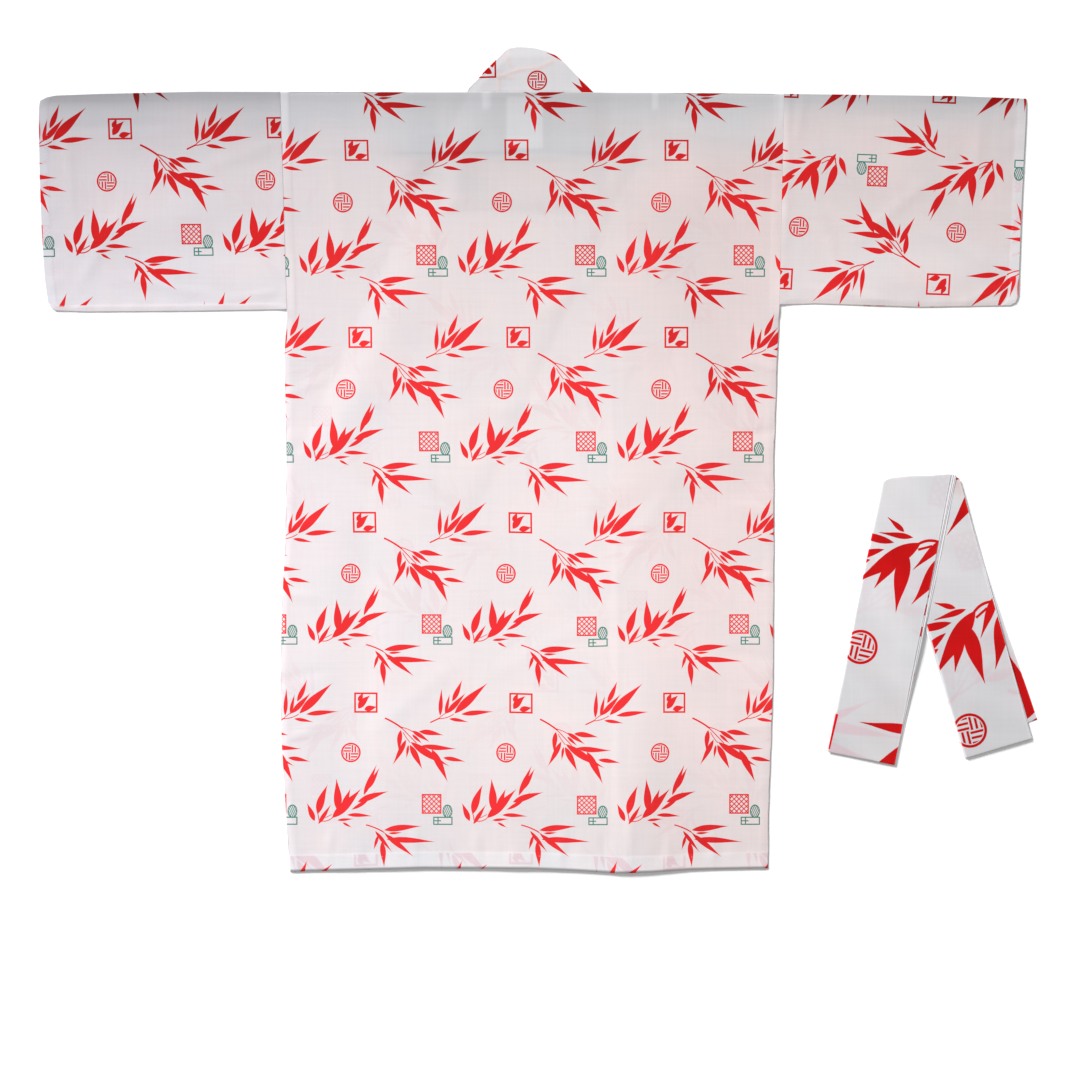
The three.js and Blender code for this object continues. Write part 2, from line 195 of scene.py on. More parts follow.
def side_edges(x, y):
    """How far inside the back's left edge and right edge a point is."""
    return x - read(BODY_EDGES, "left", y), read(BODY_EDGES, "right", y) - x


def sleeve_edges(label, x, y):
    """How far a point is above a sleeve's lower seam, inside its opening and outside the armhole."""
    side, lower, cuff = SLEEVES[label].values()
    cuff_edge = side * (read(cuff, "x", y) - x)
    return y - read(lower, "y", x), cuff_edge, side * (x - read(BODY_EDGES, label, y))


def relief(rows, x, y):
    """Height of the folds or creases of a table."""
    height = 0.0 * x
    for cx, cy, turn, long, wide, rise in zip(*rows.values()):
        along, across = turned(x - cx, y - cy, -turn)
        height += rise * hump(across, 0, wide) * ease(1.4 - np.abs(along / long))
    return height


def cloth_relief(x, y):
    return RELIEF_DEPTH * relief(FOLDS, x, y) + RELIEF_DEPTH * relief(CREASES, x, y)


class Neckline:
    """Seam between a front and its collar, from the shoulder fold across the centre to the overlap's edge."""

    def __init__(self, side, neck_x):
        self.side = side
        self.start = np.array([neck_x, SHOULDER_Y], float)
        run = np.array([-side * OVERLAP_EDGE_X, COLLAR_END_Y]) - self.start
        self.length = float(np.hypot(*run))
        self.along = run / self.length
        self.out = np.array([-side * abs(self.along[1]), abs(self.along[0])])

    def past(self, x, y):
        return (x - self.start[0]) * self.out[0] + (y - self.start[1]) * self.out[1]

    def run(self, x, y):
        return (x - self.start[0]) * self.along[0] + (y - self.start[1]) * self.along[1]

    def y_at(self, x):
        return self.start[1] + (x - self.start[0]) * self.along[1] / self.along[0]


NECKLINES = {"left": Neckline(-1, NECK_X["left"]), "right": Neckline(1, NECK_X["right"])}


# ---- How high each layer lies over the ones beneath it ----
def lies_on(distance, step):
    reach, run = STEPS[step]
    return ease(1 - (distance - reach) / run)


def off_front(label, x, y):
    line = NECKLINES[label]
    return np.maximum(line.past(x, y), -line.side * x - OVERLAP_EDGE_X)


def off_collar(label, x, y):
    line = NECKLINES[label]
    across = line.past(x, y)
    return np.maximum(np.maximum(-across, across - COLLAR_WIDTH), line.run(x, y) - line.length)


def off_label(x, y):
    return np.maximum(abs(x - LABEL["x"]) - LABEL["width"] / 2, abs(y - LABEL["y"]) - LABEL["length"] / 2)


def off_nape(x, y):
    return np.maximum(np.maximum(NECK_X["left"] - x, x - NECK_X["right"]), NAPE_Y - y)


def over_left(x, y, step="front"):
    front = (CLOTH + GAP) * lies_on(off_front("left", x, y), step)
    collar = (COLLAR_WALL + GAP) * lies_on(off_collar("left", x, y), step)
    return np.maximum(front, collar)


def over_collars(x, y, step="front"):
    under = over_left(x, y, step)
    nape = (COLLAR_WALL + GAP) * lies_on(off_nape(x, y), step)
    collar = (under + COLLAR_WALL + GAP) * lies_on(off_collar("right", x, y), step)
    return np.maximum(np.maximum(nape, collar), under)


def over_all(x, y):
    fronts = (over_left(x, y, "back") + CLOTH + GAP) * lies_on(off_front("right", x, y), "back")
    collars = over_collars(x, y, "back")
    label = (collars + LABEL["wall"] + GAP) * lies_on(off_label(x, y), "back")
    return np.maximum(np.maximum(fronts, collars), np.maximum(label, CLOTH + GAP))


# ---- Print coordinates: where a point of the cloth is in the repeat, in millimetres ----
REPEAT_U, REPEAT_V = 205, 239
# The back's print as laid: each row of the repeat, and how wide the repeat is there.
BACK_PRINT = table(
    "y v width",
    (604, 239, 211), (360.6, 0, 206.7), (117.6, -239, 204.8), (-121.5, -478, 201.5), (-354, -717, 201.5),
    (-590.5, -956, 201.5),
)
BACK_PRINT_X = 169  # a repeat of the back's print starts here
FRONT_PRINT_AT = {"left": (60, 300), "right": (-35, 300)}
BELT_PRINT_SCALE = 1.73


def print_on_back(x, y):
    """The cloth isn't pulled quite square: it sags below the middle and is drawn in at the lower right."""
    sag = 3 * hump(x, 65, 65) * ease((40 - y) / 80) * ease((y + 470) / 90)
    drawn = 3.6 * ease((x - 130) / 90) * ease((40 - y) / 120)
    u = (x + drawn - BACK_PRINT_X) / read(BACK_PRINT, "width", y) * REPEAT_U
    return u, read(BACK_PRINT, "v", y + sag)


def print_turned(origin, degrees, scale=1.0, at=(0, 0)):
    """Print whose point at lies on origin, turned by degrees."""

    def place(x, y):
        u, v = turned(x - origin[0], y - origin[1], -degrees)
        return at[0] + u / scale, at[1] + v / scale

    return place


def pulled(place, centre, across, up):
    """Print on cloth pulled out of square: how far it has moved, and how that grows with x and with y."""

    def drawn(x, y):
        dx, dy = x - centre[0], y - centre[1]
        return place(x + across[0] + across[1] * dx + across[2] * dy, y + up[0] + up[1] * dx + up[2] * dy)

    return drawn


def drawn_aside(place, from_y, run, across, up):
    """Print on cloth that is drawn aside above from_y, in full from a run further on."""

    def drawn(x, y):
        near = ease((y - from_y) / run)
        return place(x + across * near, y + up * near)

    return drawn


LEFT_SLEEVE_PRINT = pulled(
    print_turned((-347, 388.5), -0.4), centre=(-484, 369), across=(-2, -0.0055, 0.046), up=(1.6, -0.014, -0.026))
RIGHT_SLEEVE_PRINT = pulled(
    print_turned((552.5, 321), 177.4), centre=(468, 372), across=(-0.7, 0.001, -0.011), up=(-0.9, -0.0095, -0.0245))
PRINT_SLEEVES = {"left": LEFT_SLEEVE_PRINT, "right": drawn_aside(RIGHT_SLEEVE_PRINT, 440, 40, across=5, up=-4)}
LOWER_LEG_PRINT = print_turned((570, -325.5), 193.8, BELT_PRINT_SCALE)
PRINT_BELT = {
    "upper": print_turned((428, -217), 166.5, BELT_PRINT_SCALE),
    "lower": drawn_aside(LOWER_LEG_PRINT, -140, 70, across=6.5, up=-3.5),
    "tail": print_turned((646.5, -295.5), 17, BELT_PRINT_SCALE, at=(-16, -77)),
}
NAPE_PRINT_X = 8
NAPE_PRINT = print_turned((NAPE_PRINT_X, 519), 91)


def print_on_nape(x, y):
    """The band fans out towards the wearer's right, where it curves over the shoulder."""
    spread = mix(6, -3, ease((y - 508) / 30))
    return NAPE_PRINT(x, y + spread * (np.maximum(x - NAPE_PRINT_X, 0) / 50) ** 2)


def print_on_front(label):
    """The fronts lie face down, so their print reads right from below."""
    at_x, at_y = FRONT_PRINT_AT[label]
    return lambda x, y: (-x + at_x, y - at_y)


# ---- Tone of the laid cloth ----
def linear(value):
    value = np.asarray(value, float) / 255
    return np.where(value <= 0.04045, value / 12.92, ((value + 0.055) / 1.055) ** 2.4)


FULL_TONE = 232  # lightness of the palest cloth, of 255
NO_PRINT = -1  # ink depth of cloth left plain
HIDDEN_TONE = (226, 0.4)  # lightness and pink of the layers beneath the back
DOUBLED_TONE = 13  # how much lighter cloth looks over one more white layer
# Lightness from shoulder to hem, and how pink it is. The lightness is painted shade that darkens the cloth towards the
# shoulder fold, and it is also a little darker towards the hem.
BODY_TONE = table(
    "y light pink",
    (506, 180, 0), (497, 190, 0), (488, 198, 0.05), (472, 203, 0.15), (445, 207, 0.3), (415, 212, 0.5),
    (385, 215, 0.6), (350, 217, 0.6), (300, 220, 0.65), (200, 224, 0.65), (60, 231, 0.62), (-60, 232, 0.6),
    (-220, 233, 0.58), (-300, 232, 0.62), (-380, 229, 0.6), (-450, 225, 0.5), (-512, 224, 0.45),
)
# Lightness and pink of each sleeve from shoulder to seam. The lightness is painted shade that darkens the cloth
# towards the shoulder fold.
SLEEVE_TONE = {
    "left": table(
        "y light pink",
        (506, 160, 0), (498, 170, 0), (490, 184, 0.05), (474, 195, 0.25), (440, 203, 0.4), (400, 211, 0.45),
        (350, 214, 0.45), (300, 219, 0.4), (255, 225, 0.3), (218, 229, 0.35),
    ),
    "right": table(
        "y light pink",
        (504, 172, 0), (497, 184, 0), (488, 195, 0.2), (472, 202, 0.45), (445, 206, 0.7), (400, 208, 0.75),
        (340, 212, 0.7), (290, 216, 0.65), (224, 220, 0.6),
    ),
}
# How much brighter the ink on each sleeve is than the tone of its cloth says.
INK_LIFT = {
    "left": table(
        "y lift", (505, 0.02), (480, 0.05), (450, 0.06), (425, 0.01), (350, 0.03), (298, -0.02), (220, -0.03)),
    "right": table(
        "y lift", (505, 0.03), (485, 0), (460, 0.045), (415, 0.075), (390, 0.06), (350, 0.03), (300, 0.015)),
}
# How much lighter the doubled cloth beside each armhole is.
ARMHOLE_TONE = table(
    "y back_left back_right sleeve_right",
    (505, 20, 14, 5), (485, 17, 11, 9), (465, 13, 4, 12), (430, 11, 0, 12), (400, 4, 0, 6), (372, 2, 0, 6),
    (357, 1, 0, 14), (340, 1, 0, 9), (310, 3, 0, 3), (255, 8, 8, 0), (215, 5, 4, 0),
)
COLLAR_SEAM_ENDS = (-58, 161)  # x of the collar seam's ends at the shoulder fold
NECK_SEAM_Y = 423  # a seam of the neck's layers that shows through the back
HEM_TONE = 233  # the hem is doubled and whiter


def toned(light, pink):
    """Lightness as a share of the full tone, and the pink, as two attribute values."""
    return linear(light) / linear(FULL_TONE), pink


def body_tone(x, y):
    light, pink = (read(BODY_TONE, key, y) for key in ("light", "pink"))
    right = ease((x - 60) / 160) * ease((420 - y) / 90)
    left = ease((-60 - x) / 160) * ease((330 - y) / 100)
    light = light - 9 * right + 1.5 * left
    pink = pink + 0.3 * right - 0.12 * left
    pink = pink + 0.35 * ease((x - 60) / 160) * hump(y, 400, 50)
    # Under the shoulder the cloth is painted darker still, as painted shade, down to a seam line.
    neck = ease((155 - abs(x + 40)) / 50)
    light = light - 5 * neck * ease((y - 418) / 6)
    pink = pink * (1 - 0.8 * neck * ease((y - 415) / 8))
    line = ease((100 - abs(x + 110)) / 50) * 8 + neck * 4
    light = light - line * hump(y, NECK_SEAM_Y, 4.5)
    light = light - (4 * neck + 5 * ease((70 - abs(x + 115)) / 40)) * ease((y - 340) / 60) * ease((421 - y) / 5)
    light = light - 8 * ease((x - 190) / 60) * hump(y, 400, 30)
    for end in COLLAR_SEAM_ENDS:
        light = light + DOUBLED_TONE * ease((5.5 - abs(x - end)) / 2) * ease((y - 479) / 6)
    # Blank patch at the nape, showing through.
    light = light + DOUBLED_TONE * ease((1.5 - off_label(x, y)) / 3)
    # Seam allowances beside the armholes and down the side seams.
    left_edge, right_edge = side_edges(x, y)
    armhole = ease((y - 205) / 20)
    light = light + armhole * read(ARMHOLE_TONE, "back_left", y) * ease((SEAM_ALLOWANCE - left_edge) / 3)
    light = light + armhole * read(ARMHOLE_TONE, "back_right", y) * ease((9 - right_edge) / 3)
    light = light + (1 - armhole) * 4 * ease((9 - left_edge) / 2)
    light = light + (1 - armhole) * 2 * ease((7 - right_edge) / 2)
    # Edge of the overlap beneath.
    light = light + 2.5 * hump(x - 0.012 * y, 112, 5) * ease((230 - y) / 40)
    hem = ease((HEM_TURN - (y - hem_y(x))) / 1.5)
    light = mix(light, HEM_TONE - 10 * ease((x - 40) / 180), hem * 0.9)
    pink = mix(pink, 0.15 + 0.3 * ease((x - 40) / 180), hem * 0.9)
    ink_lift = 0.07 * ease((x - 60) / 100) * ease((415 - y) / 30) * ease((y - 235) / 40)
    return (*toned(light, pink), 0 * x, ink_lift)


def sleeve_tone(label):
    side, rows = SLEEVES[label]["side"], SLEEVE_TONE[label]
    far_shade, turn_light = {"left": (11, 5), "right": (9, 8)}[label]

    def tone(x, y):
        light, pink = (read(rows, key, y) for key in ("light", "pink"))
        foot, cuff_edge, seam = sleeve_edges(label, x, y)
        far = ease((side * x - 400) / 230)
        # Painted shade darkens the sleeve's outer end by the shoulder fold; that end is also a little darker all the
        # way down.
        light = light - far_shade * far * ease((y - 483) / 12) - 4 * far
        turn = ease((CUFF_TURN - cuff_edge) / 1.5)
        light = light + turn_light * turn
        pink = pink * (1 - 0.5 * turn)
        ink = 0 * x + 0.25
        if label == "left":  # plain cloth of the turned seam
            strip = ease((SLEEVE_SEAM + 0.3 - foot) / 0.6)
            light, pink, ink = mix(light, 231, 0.8 * strip), mix(pink, 0.4, strip), mix(ink, NO_PRINT, strip)
        else:
            light = light + read(ARMHOLE_TONE, "sleeve_right", y) * ease((8 - seam) / 3)
        return (*toned(light, pink), ink, read(INK_LIFT[label], "lift", y))

    return tone


def even_tone(light, pink):
    return lambda x, y: toned(np.full_like(x, light), np.full_like(x, pink))


# ---- Show-through: print coordinates of the cloth beneath, and how strongly it shows ----
def turned_up(turn, folded, plain, strength, full):
    """The print of a turned edge's own cloth where there is one, and that of the cloth beneath elsewhere."""
    u, v = (np.where(turn > 0, own, other) for own, other in zip(folded, plain))
    return u, v, mix(strength, full, turn)


def beneath_back(x, y):
    """The fronts' print shows faintly all over, and the hem's turned-up print more strongly."""
    strength = 0.05 + 0.05 * np.sin(x / 47 + 1.3) * np.sin(y / 61 + 0.4)
    strength = strength * ease((400 - y) / 60)
    hem = ease((HEM_TURN - 1 - (y - hem_y(x))) / 1.5)
    return turned_up(hem, print_on_back(x, 2 * hem_y(x) - y), (40 - x, y - 150), strength, 0.26)


def beneath_sleeve(label):
    side, _, cuff = SLEEVES[label].values()

    def place(x, y):
        edge_x = read(cuff, "x", y)
        turn = ease((CUFF_TURN - 1 - side * (edge_x - x)) / 1.5)
        return turned_up(turn, PRINT_SLEEVES[label](2 * edge_x - x, y), (-x + 30, y + 40), 0.03, 0.2)

    return place


def beneath_belt(leg, strength):
    """The next layer of the folded belt, whose print runs the other way."""
    own = PRINT_BELT[leg]

    def place(x, y):
        u, v = own(x, y)
        foot = np.array(BELT_LEGS[leg]["foot"], float)
        near_foot = ease((110 - np.hypot(x - foot[0], y - foot[1])) / 40)
        return -u + 70, v + 62, strength + 0.14 * near_foot

    return place


def nothing_beneath(x, y):
    return x, y, np.zeros_like(x)


# ---- Meshes ----
def placed_thing(name, data):
    thing = bpy.data.objects.new(name, data)
    bpy.context.collection.objects.link(thing)
    return thing


def collect(name, points, faces, attributes):
    """A mesh object from points in millimetres, with the cloth's attributes on its points."""
    mesh = bpy.data.meshes.new(name)
    mesh.vertices.add(len(points))
    mesh.vertices.foreach_set("co", (points * MM).astype(np.float32).ravel())
    mesh.loops.add(faces.size)
    mesh.loops.foreach_set("vertex_index", faces.astype(np.int32).ravel())
    mesh.polygons.add(len(faces))
    mesh.polygons.foreach_set("loop_start", np.arange(0, faces.size, faces.shape[1], dtype=np.int32))
    mesh.polygons.foreach_set("use_smooth", np.ones(len(faces), bool))
    for key, values in attributes.items():
        layer = mesh.attributes.new(key, "FLOAT_VECTOR", "POINT")
        layer.data.foreach_set("vector", np.asarray(values, np.float32).ravel())
    mesh.update(calc_edges=True)
    mesh.validate()
    return placed_thing(name, mesh)


def grid_faces(rows, columns, wrap=False):
    """Quads of a grid whose points run along its columns first; wrap joins the last row to the first."""
    i, j = np.meshgrid(np.arange(rows if wrap else rows - 1), np.arange(columns - 1), indexing="ij")
    nxt = (i + 1) % rows
    corners = (i * columns + j, i * columns + j + 1, nxt * columns + j + 1, nxt * columns + j)
    return np.stack(corners, -1).reshape(-1, 4)


def shell(name, sheet, facts, thickness, wrap=False):
    """Gives a sheet of points (rows, columns, 3) a wall inwards, and closes its rims."""
    rows, columns, _ = sheet.shape
    along = np.gradient(sheet, axis=1)
    if wrap:
        up = (np.roll(sheet, -1, 0) - np.roll(sheet, 1, 0)) / 2
    else:
        up = np.gradient(sheet, axis=0)
    normal = np.cross(along, up)
    normal /= np.maximum(np.linalg.norm(normal, axis=2, keepdims=True), 1e-9)
    inner = sheet - normal * thickness
    count = rows * columns
    outer_faces = grid_faces(rows, columns, wrap)
    faces = [outer_faces, outer_faces[:, ::-1] + count]
    ids = np.arange(count).reshape(rows, columns)

    def rim(line):
        return np.stack((line[1:], line[:-1], line[:-1] + count, line[1:] + count), -1)

    if wrap:
        loop = [np.append(ids[:, 0], ids[0, 0])[::-1], np.append(ids[:, -1], ids[0, -1])]
        faces += [rim(line) for line in loop]
    else:
        faces += [rim(ids[0]), rim(ids[-1][::-1]), rim(ids[:, 0][::-1]), rim(ids[:, -1])]
    points = np.concatenate((sheet.reshape(-1, 3), inner.reshape(-1, 3)))
    attributes = {key: np.tile(values.reshape(-1, 3), (2, 1)) for key, values in facts.items()}
    return collect(name, points, np.concatenate(faces), attributes)


def cloth_facts(x, y, print_at, tone, beneath):
    """The attributes a cloth's material reads, at each point."""
    u, v = print_at(x, y)
    zero = np.zeros_like(x)
    light, pink, ink, ink_lift = (*tone(x, y), zero, zero)[:4]
    under = beneath(x, y)
    return {
        "print_place": np.stack((u, v, ink_lift), -1),
        "tone": np.stack((light, pink, ink), -1),
        "under_place": np.stack([np.broadcast_to(part, x.shape) for part in under], -1),
    }


ROLL_ANGLES = np.radians((30, 65, 100, 135))
LOWEST_ROLL = 0.75  # height above the ground that a rolled edge doesn't go under


def rolled(sheet, flat, side, radius):
    """Turns one border of a sheet over and down. flat keeps the plan of the same points for the print."""
    axis = 0 if side == "top" else 1
    at_end = side != "left"

    def border(points):
        """The points of the border, and the way out from it in plan."""
        edge, before = (np.take(points, k, axis) for k in ((-1, -2) if at_end else (0, 1)))
        out = (edge - before) * (1, 1, 0)[:points.shape[-1]]
        return edge, out / np.maximum(np.linalg.norm(out, axis=-1, keepdims=True), 1e-9)

    def joined(points, rings):
        added = np.stack(rings if at_end else rings[::-1], axis)
        return np.concatenate((points, added) if at_end else (added, points), axis)

    (edge, out), (plan_edge, plan_out) = border(sheet), border(flat)
    r = radius(edge[..., 1])
    rings, plans = [], []
    for angle in ROLL_ANGLES:
        ring = edge + out * r[..., None] * math.sin(angle)
        drop = np.minimum(r * (1 - math.cos(angle)), np.maximum(edge[..., 2] - LOWEST_ROLL, 0))
        ring[..., 2] = edge[..., 2] - drop
        rings.append(ring)
        plans.append(plan_edge + plan_out * r[..., None] * angle)
    return joined(sheet, rings), joined(flat, plans)


def even_roll(y):
    return 0 * y + FOLD_RADIUS


def side_roll(y):
    """The back's sides fold over the seam below the armholes, and are sewn flat to the sleeves above."""
    return mix(FOLD_RADIUS, 0.1, at_armhole(y))


def lay(name, across, up, plan, height, dress, rolls=(), thickness=SHELL):
    """A cloth laid over its grid of stations: plan gives x and y, height the top of the cloth."""
    s, t = np.meshgrid(across, up)
    x, y = plan(s, t)
    sheet = np.stack((x, y, height(x, y)), -1)
    flat = sheet[..., :2]
    for side, radius in rolls:
        sheet, flat = rolled(sheet, flat, side, radius)
    return shell(name, sheet, cloth_facts(flat[..., 0], flat[..., 1], *dress), thickness)


def stations(count, *extra):
    return np.unique(np.concatenate((np.linspace(0, 1, count + 1), np.array(extra, float))))


# ---- Body ----
def body_plan(from_x, to_x, top, tuck=0.0, inset=lambda y: 0 * y):
    def plan(s, t):
        x = mix(from_x, to_x, s)
        y = mix(hem_y(x) + tuck * 0.6, top(x) - tuck, t)
        if from_x <= -BODY_HALF:
            x = x + (read(BODY_EDGES, "left", y) + BODY_HALF + tuck + inset(y)) * (1 - s)
        if to_x >= BODY_HALF:
            x = x + (read(BODY_EDGES, "right", y) - BODY_HALF - tuck - inset(y)) * s
        return x, y

    return plan


def at_armhole(y):
    return ease((y - 208) / 14)


def sewn_edge(height, distance, y, share=1.0):
    """Brings a cloth to its seam, drawn down a little along the stitches."""
    height = mix(height, SEAM_HEIGHT, share * ease((16 - distance) / 16))
    pucker = 0.06 * puckers(y, 4.3, 31) * hump(distance, 2, 5)
    return height + share * pucker


def back_height(x, y):
    foot = y - hem_y(x)
    left_edge, right_edge = side_edges(x, y)
    side_edge = np.minimum(left_edge, right_edge)
    height = over_all(x, y) + CLOTH + cloth_relief(x, y)
    height += 0.15 * ease((HEM_TURN - foot) / TURN_STEP)
    height += sum(0.1 * ease((SEAM_ALLOWANCE - edge) / TURN_STEP) for edge in (left_edge, right_edge))
    height += PUCKER * puckers(x, 5.2, 37) * hump(foot, HEM_TURN, 9)
    side_waves = hump(left_edge, 0, 12) + hump(right_edge, 0, 12)
    height += PUCKER * puckers(y, 7.5, 53, 2.5) * side_waves * (1 - at_armhole(y))
    # The patch lifts it a little at the nape.
    height += 0.15 * ease((1 - off_label(x, y)) / 2)
    height -= 0.5 * ease((9 - np.minimum(side_edge + 20 * at_armhole(y), shoulder_y(x) - y)) / 9) ** 2
    return sewn_edge(height, side_edge, y, at_armhole(y))


def build_back():
    body_length = 1011
    steps = [step / (2 * BODY_HALF) for step in (0.2, 12, 12 + TURN_STEP)]
    across = stations(166, *steps, *(1 - step for step in steps))
    up = stations(258, HEM_TURN / body_length, (HEM_TURN - TURN_STEP) / body_length)
    plan = body_plan(-BODY_HALF, BODY_HALF, lambda x: shoulder_y(x) - 1.2, inset=side_roll)
    return lay("back_panel", across, up, plan, back_height, (print_on_back, body_tone, beneath_back),
               (("left", side_roll), ("right", side_roll), ("top", even_roll)))


def beneath_front(label):
    """What a front and its collar lie on."""
    return ground if label == "left" else over_left


def build_fronts(label):
    line, under = NECKLINES[label], beneath_front(label)
    side = line.side
    dress = (print_on_front(label), even_tone(*HIDDEN_TONE), nothing_beneath)

    def top(x):
        slope = np.where(side * (x - line.start[0]) > 0, 2 * SHOULDER_Y, line.y_at(x))
        return np.minimum(slope, shoulder_y(x))

    def panel(name, from_x, to_x, across, up):
        plan = body_plan(min(from_x, to_x), max(from_x, to_x), top, TUCK)
        return lay(f"{name}_{label}", across, up, plan, lambda x, y: under(x, y) + CLOTH - 0.1, dress)

    seam, edge, outer = -side * OVERLAP_SEAM_X, -side * OVERLAP_EDGE_X, side * BODY_HALF
    across = stations(48, (BODY_HALF - side * line.start[0]) / (BODY_HALF + OVERLAP_SEAM_X))
    front = panel("front_panel", outer, seam, across if side < 0 else 1 - across[::-1], stations(90))
    return front, panel("overlap_panel", seam - side * GAP, edge, stations(18), stations(80))


def build_collar_side(label):
    line, under = NECKLINES[label], beneath_front(label)

    def plan(s, t):
        out = mix(GAP, COLLAR_WIDTH, s if label == "left" else 1 - s)
        from_x, from_y = line.start[0] + line.out[0] * out, line.start[1] + line.out[1] * out
        along = mix(line.length, (from_y - NAPE_Y) / -line.along[1], t)
        return from_x + line.along[0] * along, from_y + line.along[1] * along

    def height(x, y):
        across = line.past(x, y)
        crown = np.clip(across * (COLLAR_WIDTH - across) / (COLLAR_WIDTH / 2) ** 2, 0, 1)
        return under(x, y) + COLLAR_WALL - 0.35 + 0.3 * crown

    heading = math.degrees(math.atan2(-line.along[1], -line.along[0]))
    dress = (print_turned(tuple(line.start), heading), even_tone(*HIDDEN_TONE), nothing_beneath)
    return lay(f"collar_band_{label}", stations(16), stations(120), plan, height, dress, thickness=0.9)


# Creases of the collar behind the neck, where the band's inner edges press through.
NAPE_CREASES = table(
    "x y turn long wide rise",
    (-42, 517, 94, 14, 2.3, 0.7), (-29, 528, 18, 16, 2.6, 0.8), (-4, 534, 6, 14, 2.4, 0.7),
    (20, 540, 24, 14, 2.8, 0.6), (-31, 546, 122, 12, 2.3, 0.6), (-30, 523, -8, 9, 2.6, 0.5),
)


def build_nape():
    tip = NAPE_OUTLINE["y"][-1] - 1.3  # leaves room for the rolled top edge

    def sides(y):
        return read(NAPE_OUTLINE, "left", y) + FOLD_RADIUS, read(NAPE_OUTLINE, "right", y) - FOLD_RADIUS

    def plan(s, t):
        y = mix(NAPE_Y + GAP, tip, t)
        return mix(*sides(y), s), y + t * t * 1.2 * np.sin(np.pi * s)

    def height(x, y):
        left, right = sides(y)
        edge = np.minimum(np.minimum(x - left, right - x), tip + 1 - y)
        stand = 2.2 * ease((y - SHOULDER_Y - 6) / (tip - SHOULDER_Y))
        creases = 0.22 * relief(NAPE_CREASES, x, y) * ease(edge / 5)
        return stand + COLLAR_WALL + 0.5 * ease(edge / 14) + creases

    def tone(x, y):
        # The band is painted darker at its foot by the shoulder fold, as painted shade, and it is a little darker
        # towards its left.
        light = 216 + 6 * ease((y - 506) / 50) - 5 * ease((-x - 20) / 30)
        # The creases are painted darker, as painted shade, and pinker.
        crease = np.clip(relief(NAPE_CREASES, x, y), 0, 1)
        return (*toned(light - 9 * crease, 0.1 + 1.2 * crease), 0.7 + 0 * light, -0.1 + 0 * light)

    return lay("collar_behind_neck", stations(120), stations(80), plan, height, (print_on_nape, tone, nothing_beneath),
               (("left", even_roll), ("right", even_roll), ("top", even_roll)), 0.8)


def build_label():
    def plan(s, t):
        return LABEL["x"] + (s - 0.5) * LABEL["width"], LABEL["y"] + (t - 0.5) * LABEL["length"]

    def height(x, y):
        rim = ease((off_label(x, y) + 3) / 1.5)
        return over_collars(x, y) + LABEL["wall"] - 0.1 * rim

    return lay("nape_patch", stations(24), stations(34), plan, height,
               (lambda x, y: (x, y), even_tone(240, 0), nothing_beneath), thickness=0.5)


# ---- Sleeves: one cloth each, folded at the shoulder and seamed below ----
def sleeve_height(label, x, y):
    foot, cuff_edge, seam = sleeve_edges(label, x, y)
    height = 2 * CLOTH + GAP + cloth_relief(x, y)
    height += 0.18 * ease((CUFF_TURN - cuff_edge) / TURN_STEP)
    height += PUCKER * puckers(y, 5.6, 41) * hump(cuff_edge, CUFF_TURN, 8)
    height += PUCKER * puckers(x, 6.8, 45, 2.2) * hump(foot, 8, 8)
    if label == "left":
        height += 0.1 * ease((SLEEVE_SEAM + 0.3 - foot) / 0.6)
    height -= 0.6 * ease((9 - np.minimum(foot, shoulder_y(x) - y)) / 9) ** 2
    return sewn_edge(height, seam, y)


def build_sleeve(label):
    side, lower, cuff = SLEEVES[label].values()
    own = PRINT_SLEEVES[label]
    span, depth, fold = 318, 283, 0.8  # size of one layer, and the radius of its folds
    near = (0.15 / span, 3 / span)  # stations close to the armhole and to the opening
    out = stations(96, *near, 1 - near[0], 1 - CUFF_TURN / span, 1 - (CUFF_TURN + TURN_STEP) / span)
    upward = stations(80, (SLEEVE_SEAM - 0.8) / depth, (SLEEVE_SEAM - 0.2) / depth)
    downward = np.linspace(1, 0, 40)
    fold_angles = np.radians((20, 55, 90, 125, 160))
    # Up the back layer, over the shoulder fold, down the front layer and round the lower seam.
    t = np.concatenate((upward, np.ones(5), downward, np.zeros(5)))
    layer = np.concatenate((0 * upward + 1, (1 + np.cos(fold_angles)) / 2, 0 * downward,
                            (1 - np.cos(fold_angles)) / 2))
    swell = np.concatenate((0 * upward, np.sin(fold_angles), 0 * downward, -np.sin(fold_angles)))
    s2, t2 = np.meshgrid(out if side > 0 else out[::-1], t)
    layer2, swell2 = (np.repeat(v[:, None], len(out), 1) for v in (layer, swell))
    nominal = side * mix(BODY_HALF, 2 * BODY_HALF, s2)
    y = mix(read(lower, "y", nominal) + fold, shoulder_y(nominal) - fold, t2)
    x = mix(read(BODY_EDGES, label, y) + side * 0.15, read(cuff, "x", y), s2)
    z = mix(0.08, sleeve_height(label, x, y), layer2)
    y_out = y + swell2 * fold
    sheet = np.stack((x, y_out, z), -1)
    facts = cloth_facts(x, y_out, own, sleeve_tone(label), beneath_sleeve(label))
    # The front layer's print runs on over the fold, so it is the mirror of the back's about the fold.
    front = np.repeat((np.arange(len(t)) >= len(upward) + 3)[:, None], len(out), 1)
    u, v = own(x, 2 * shoulder_y(nominal) - y)
    facts["print_place"][..., 0] = np.where(front, u, facts["print_place"][..., 0])
    facts["print_place"][..., 1] = np.where(front, v, facts["print_place"][..., 1])
    return shell(f"sleeve_{label}", sheet, facts, 0.45, wrap=True)


# ---- Belt ----
def leg_line(leg):
    """A leg's foot, its length and the way along it."""
    foot, head = (np.array(BELT_LEGS[leg][key], float) for key in ("foot", "head"))
    length = float(np.hypot(*(head - foot)))
    return foot, length, (head - foot) / length


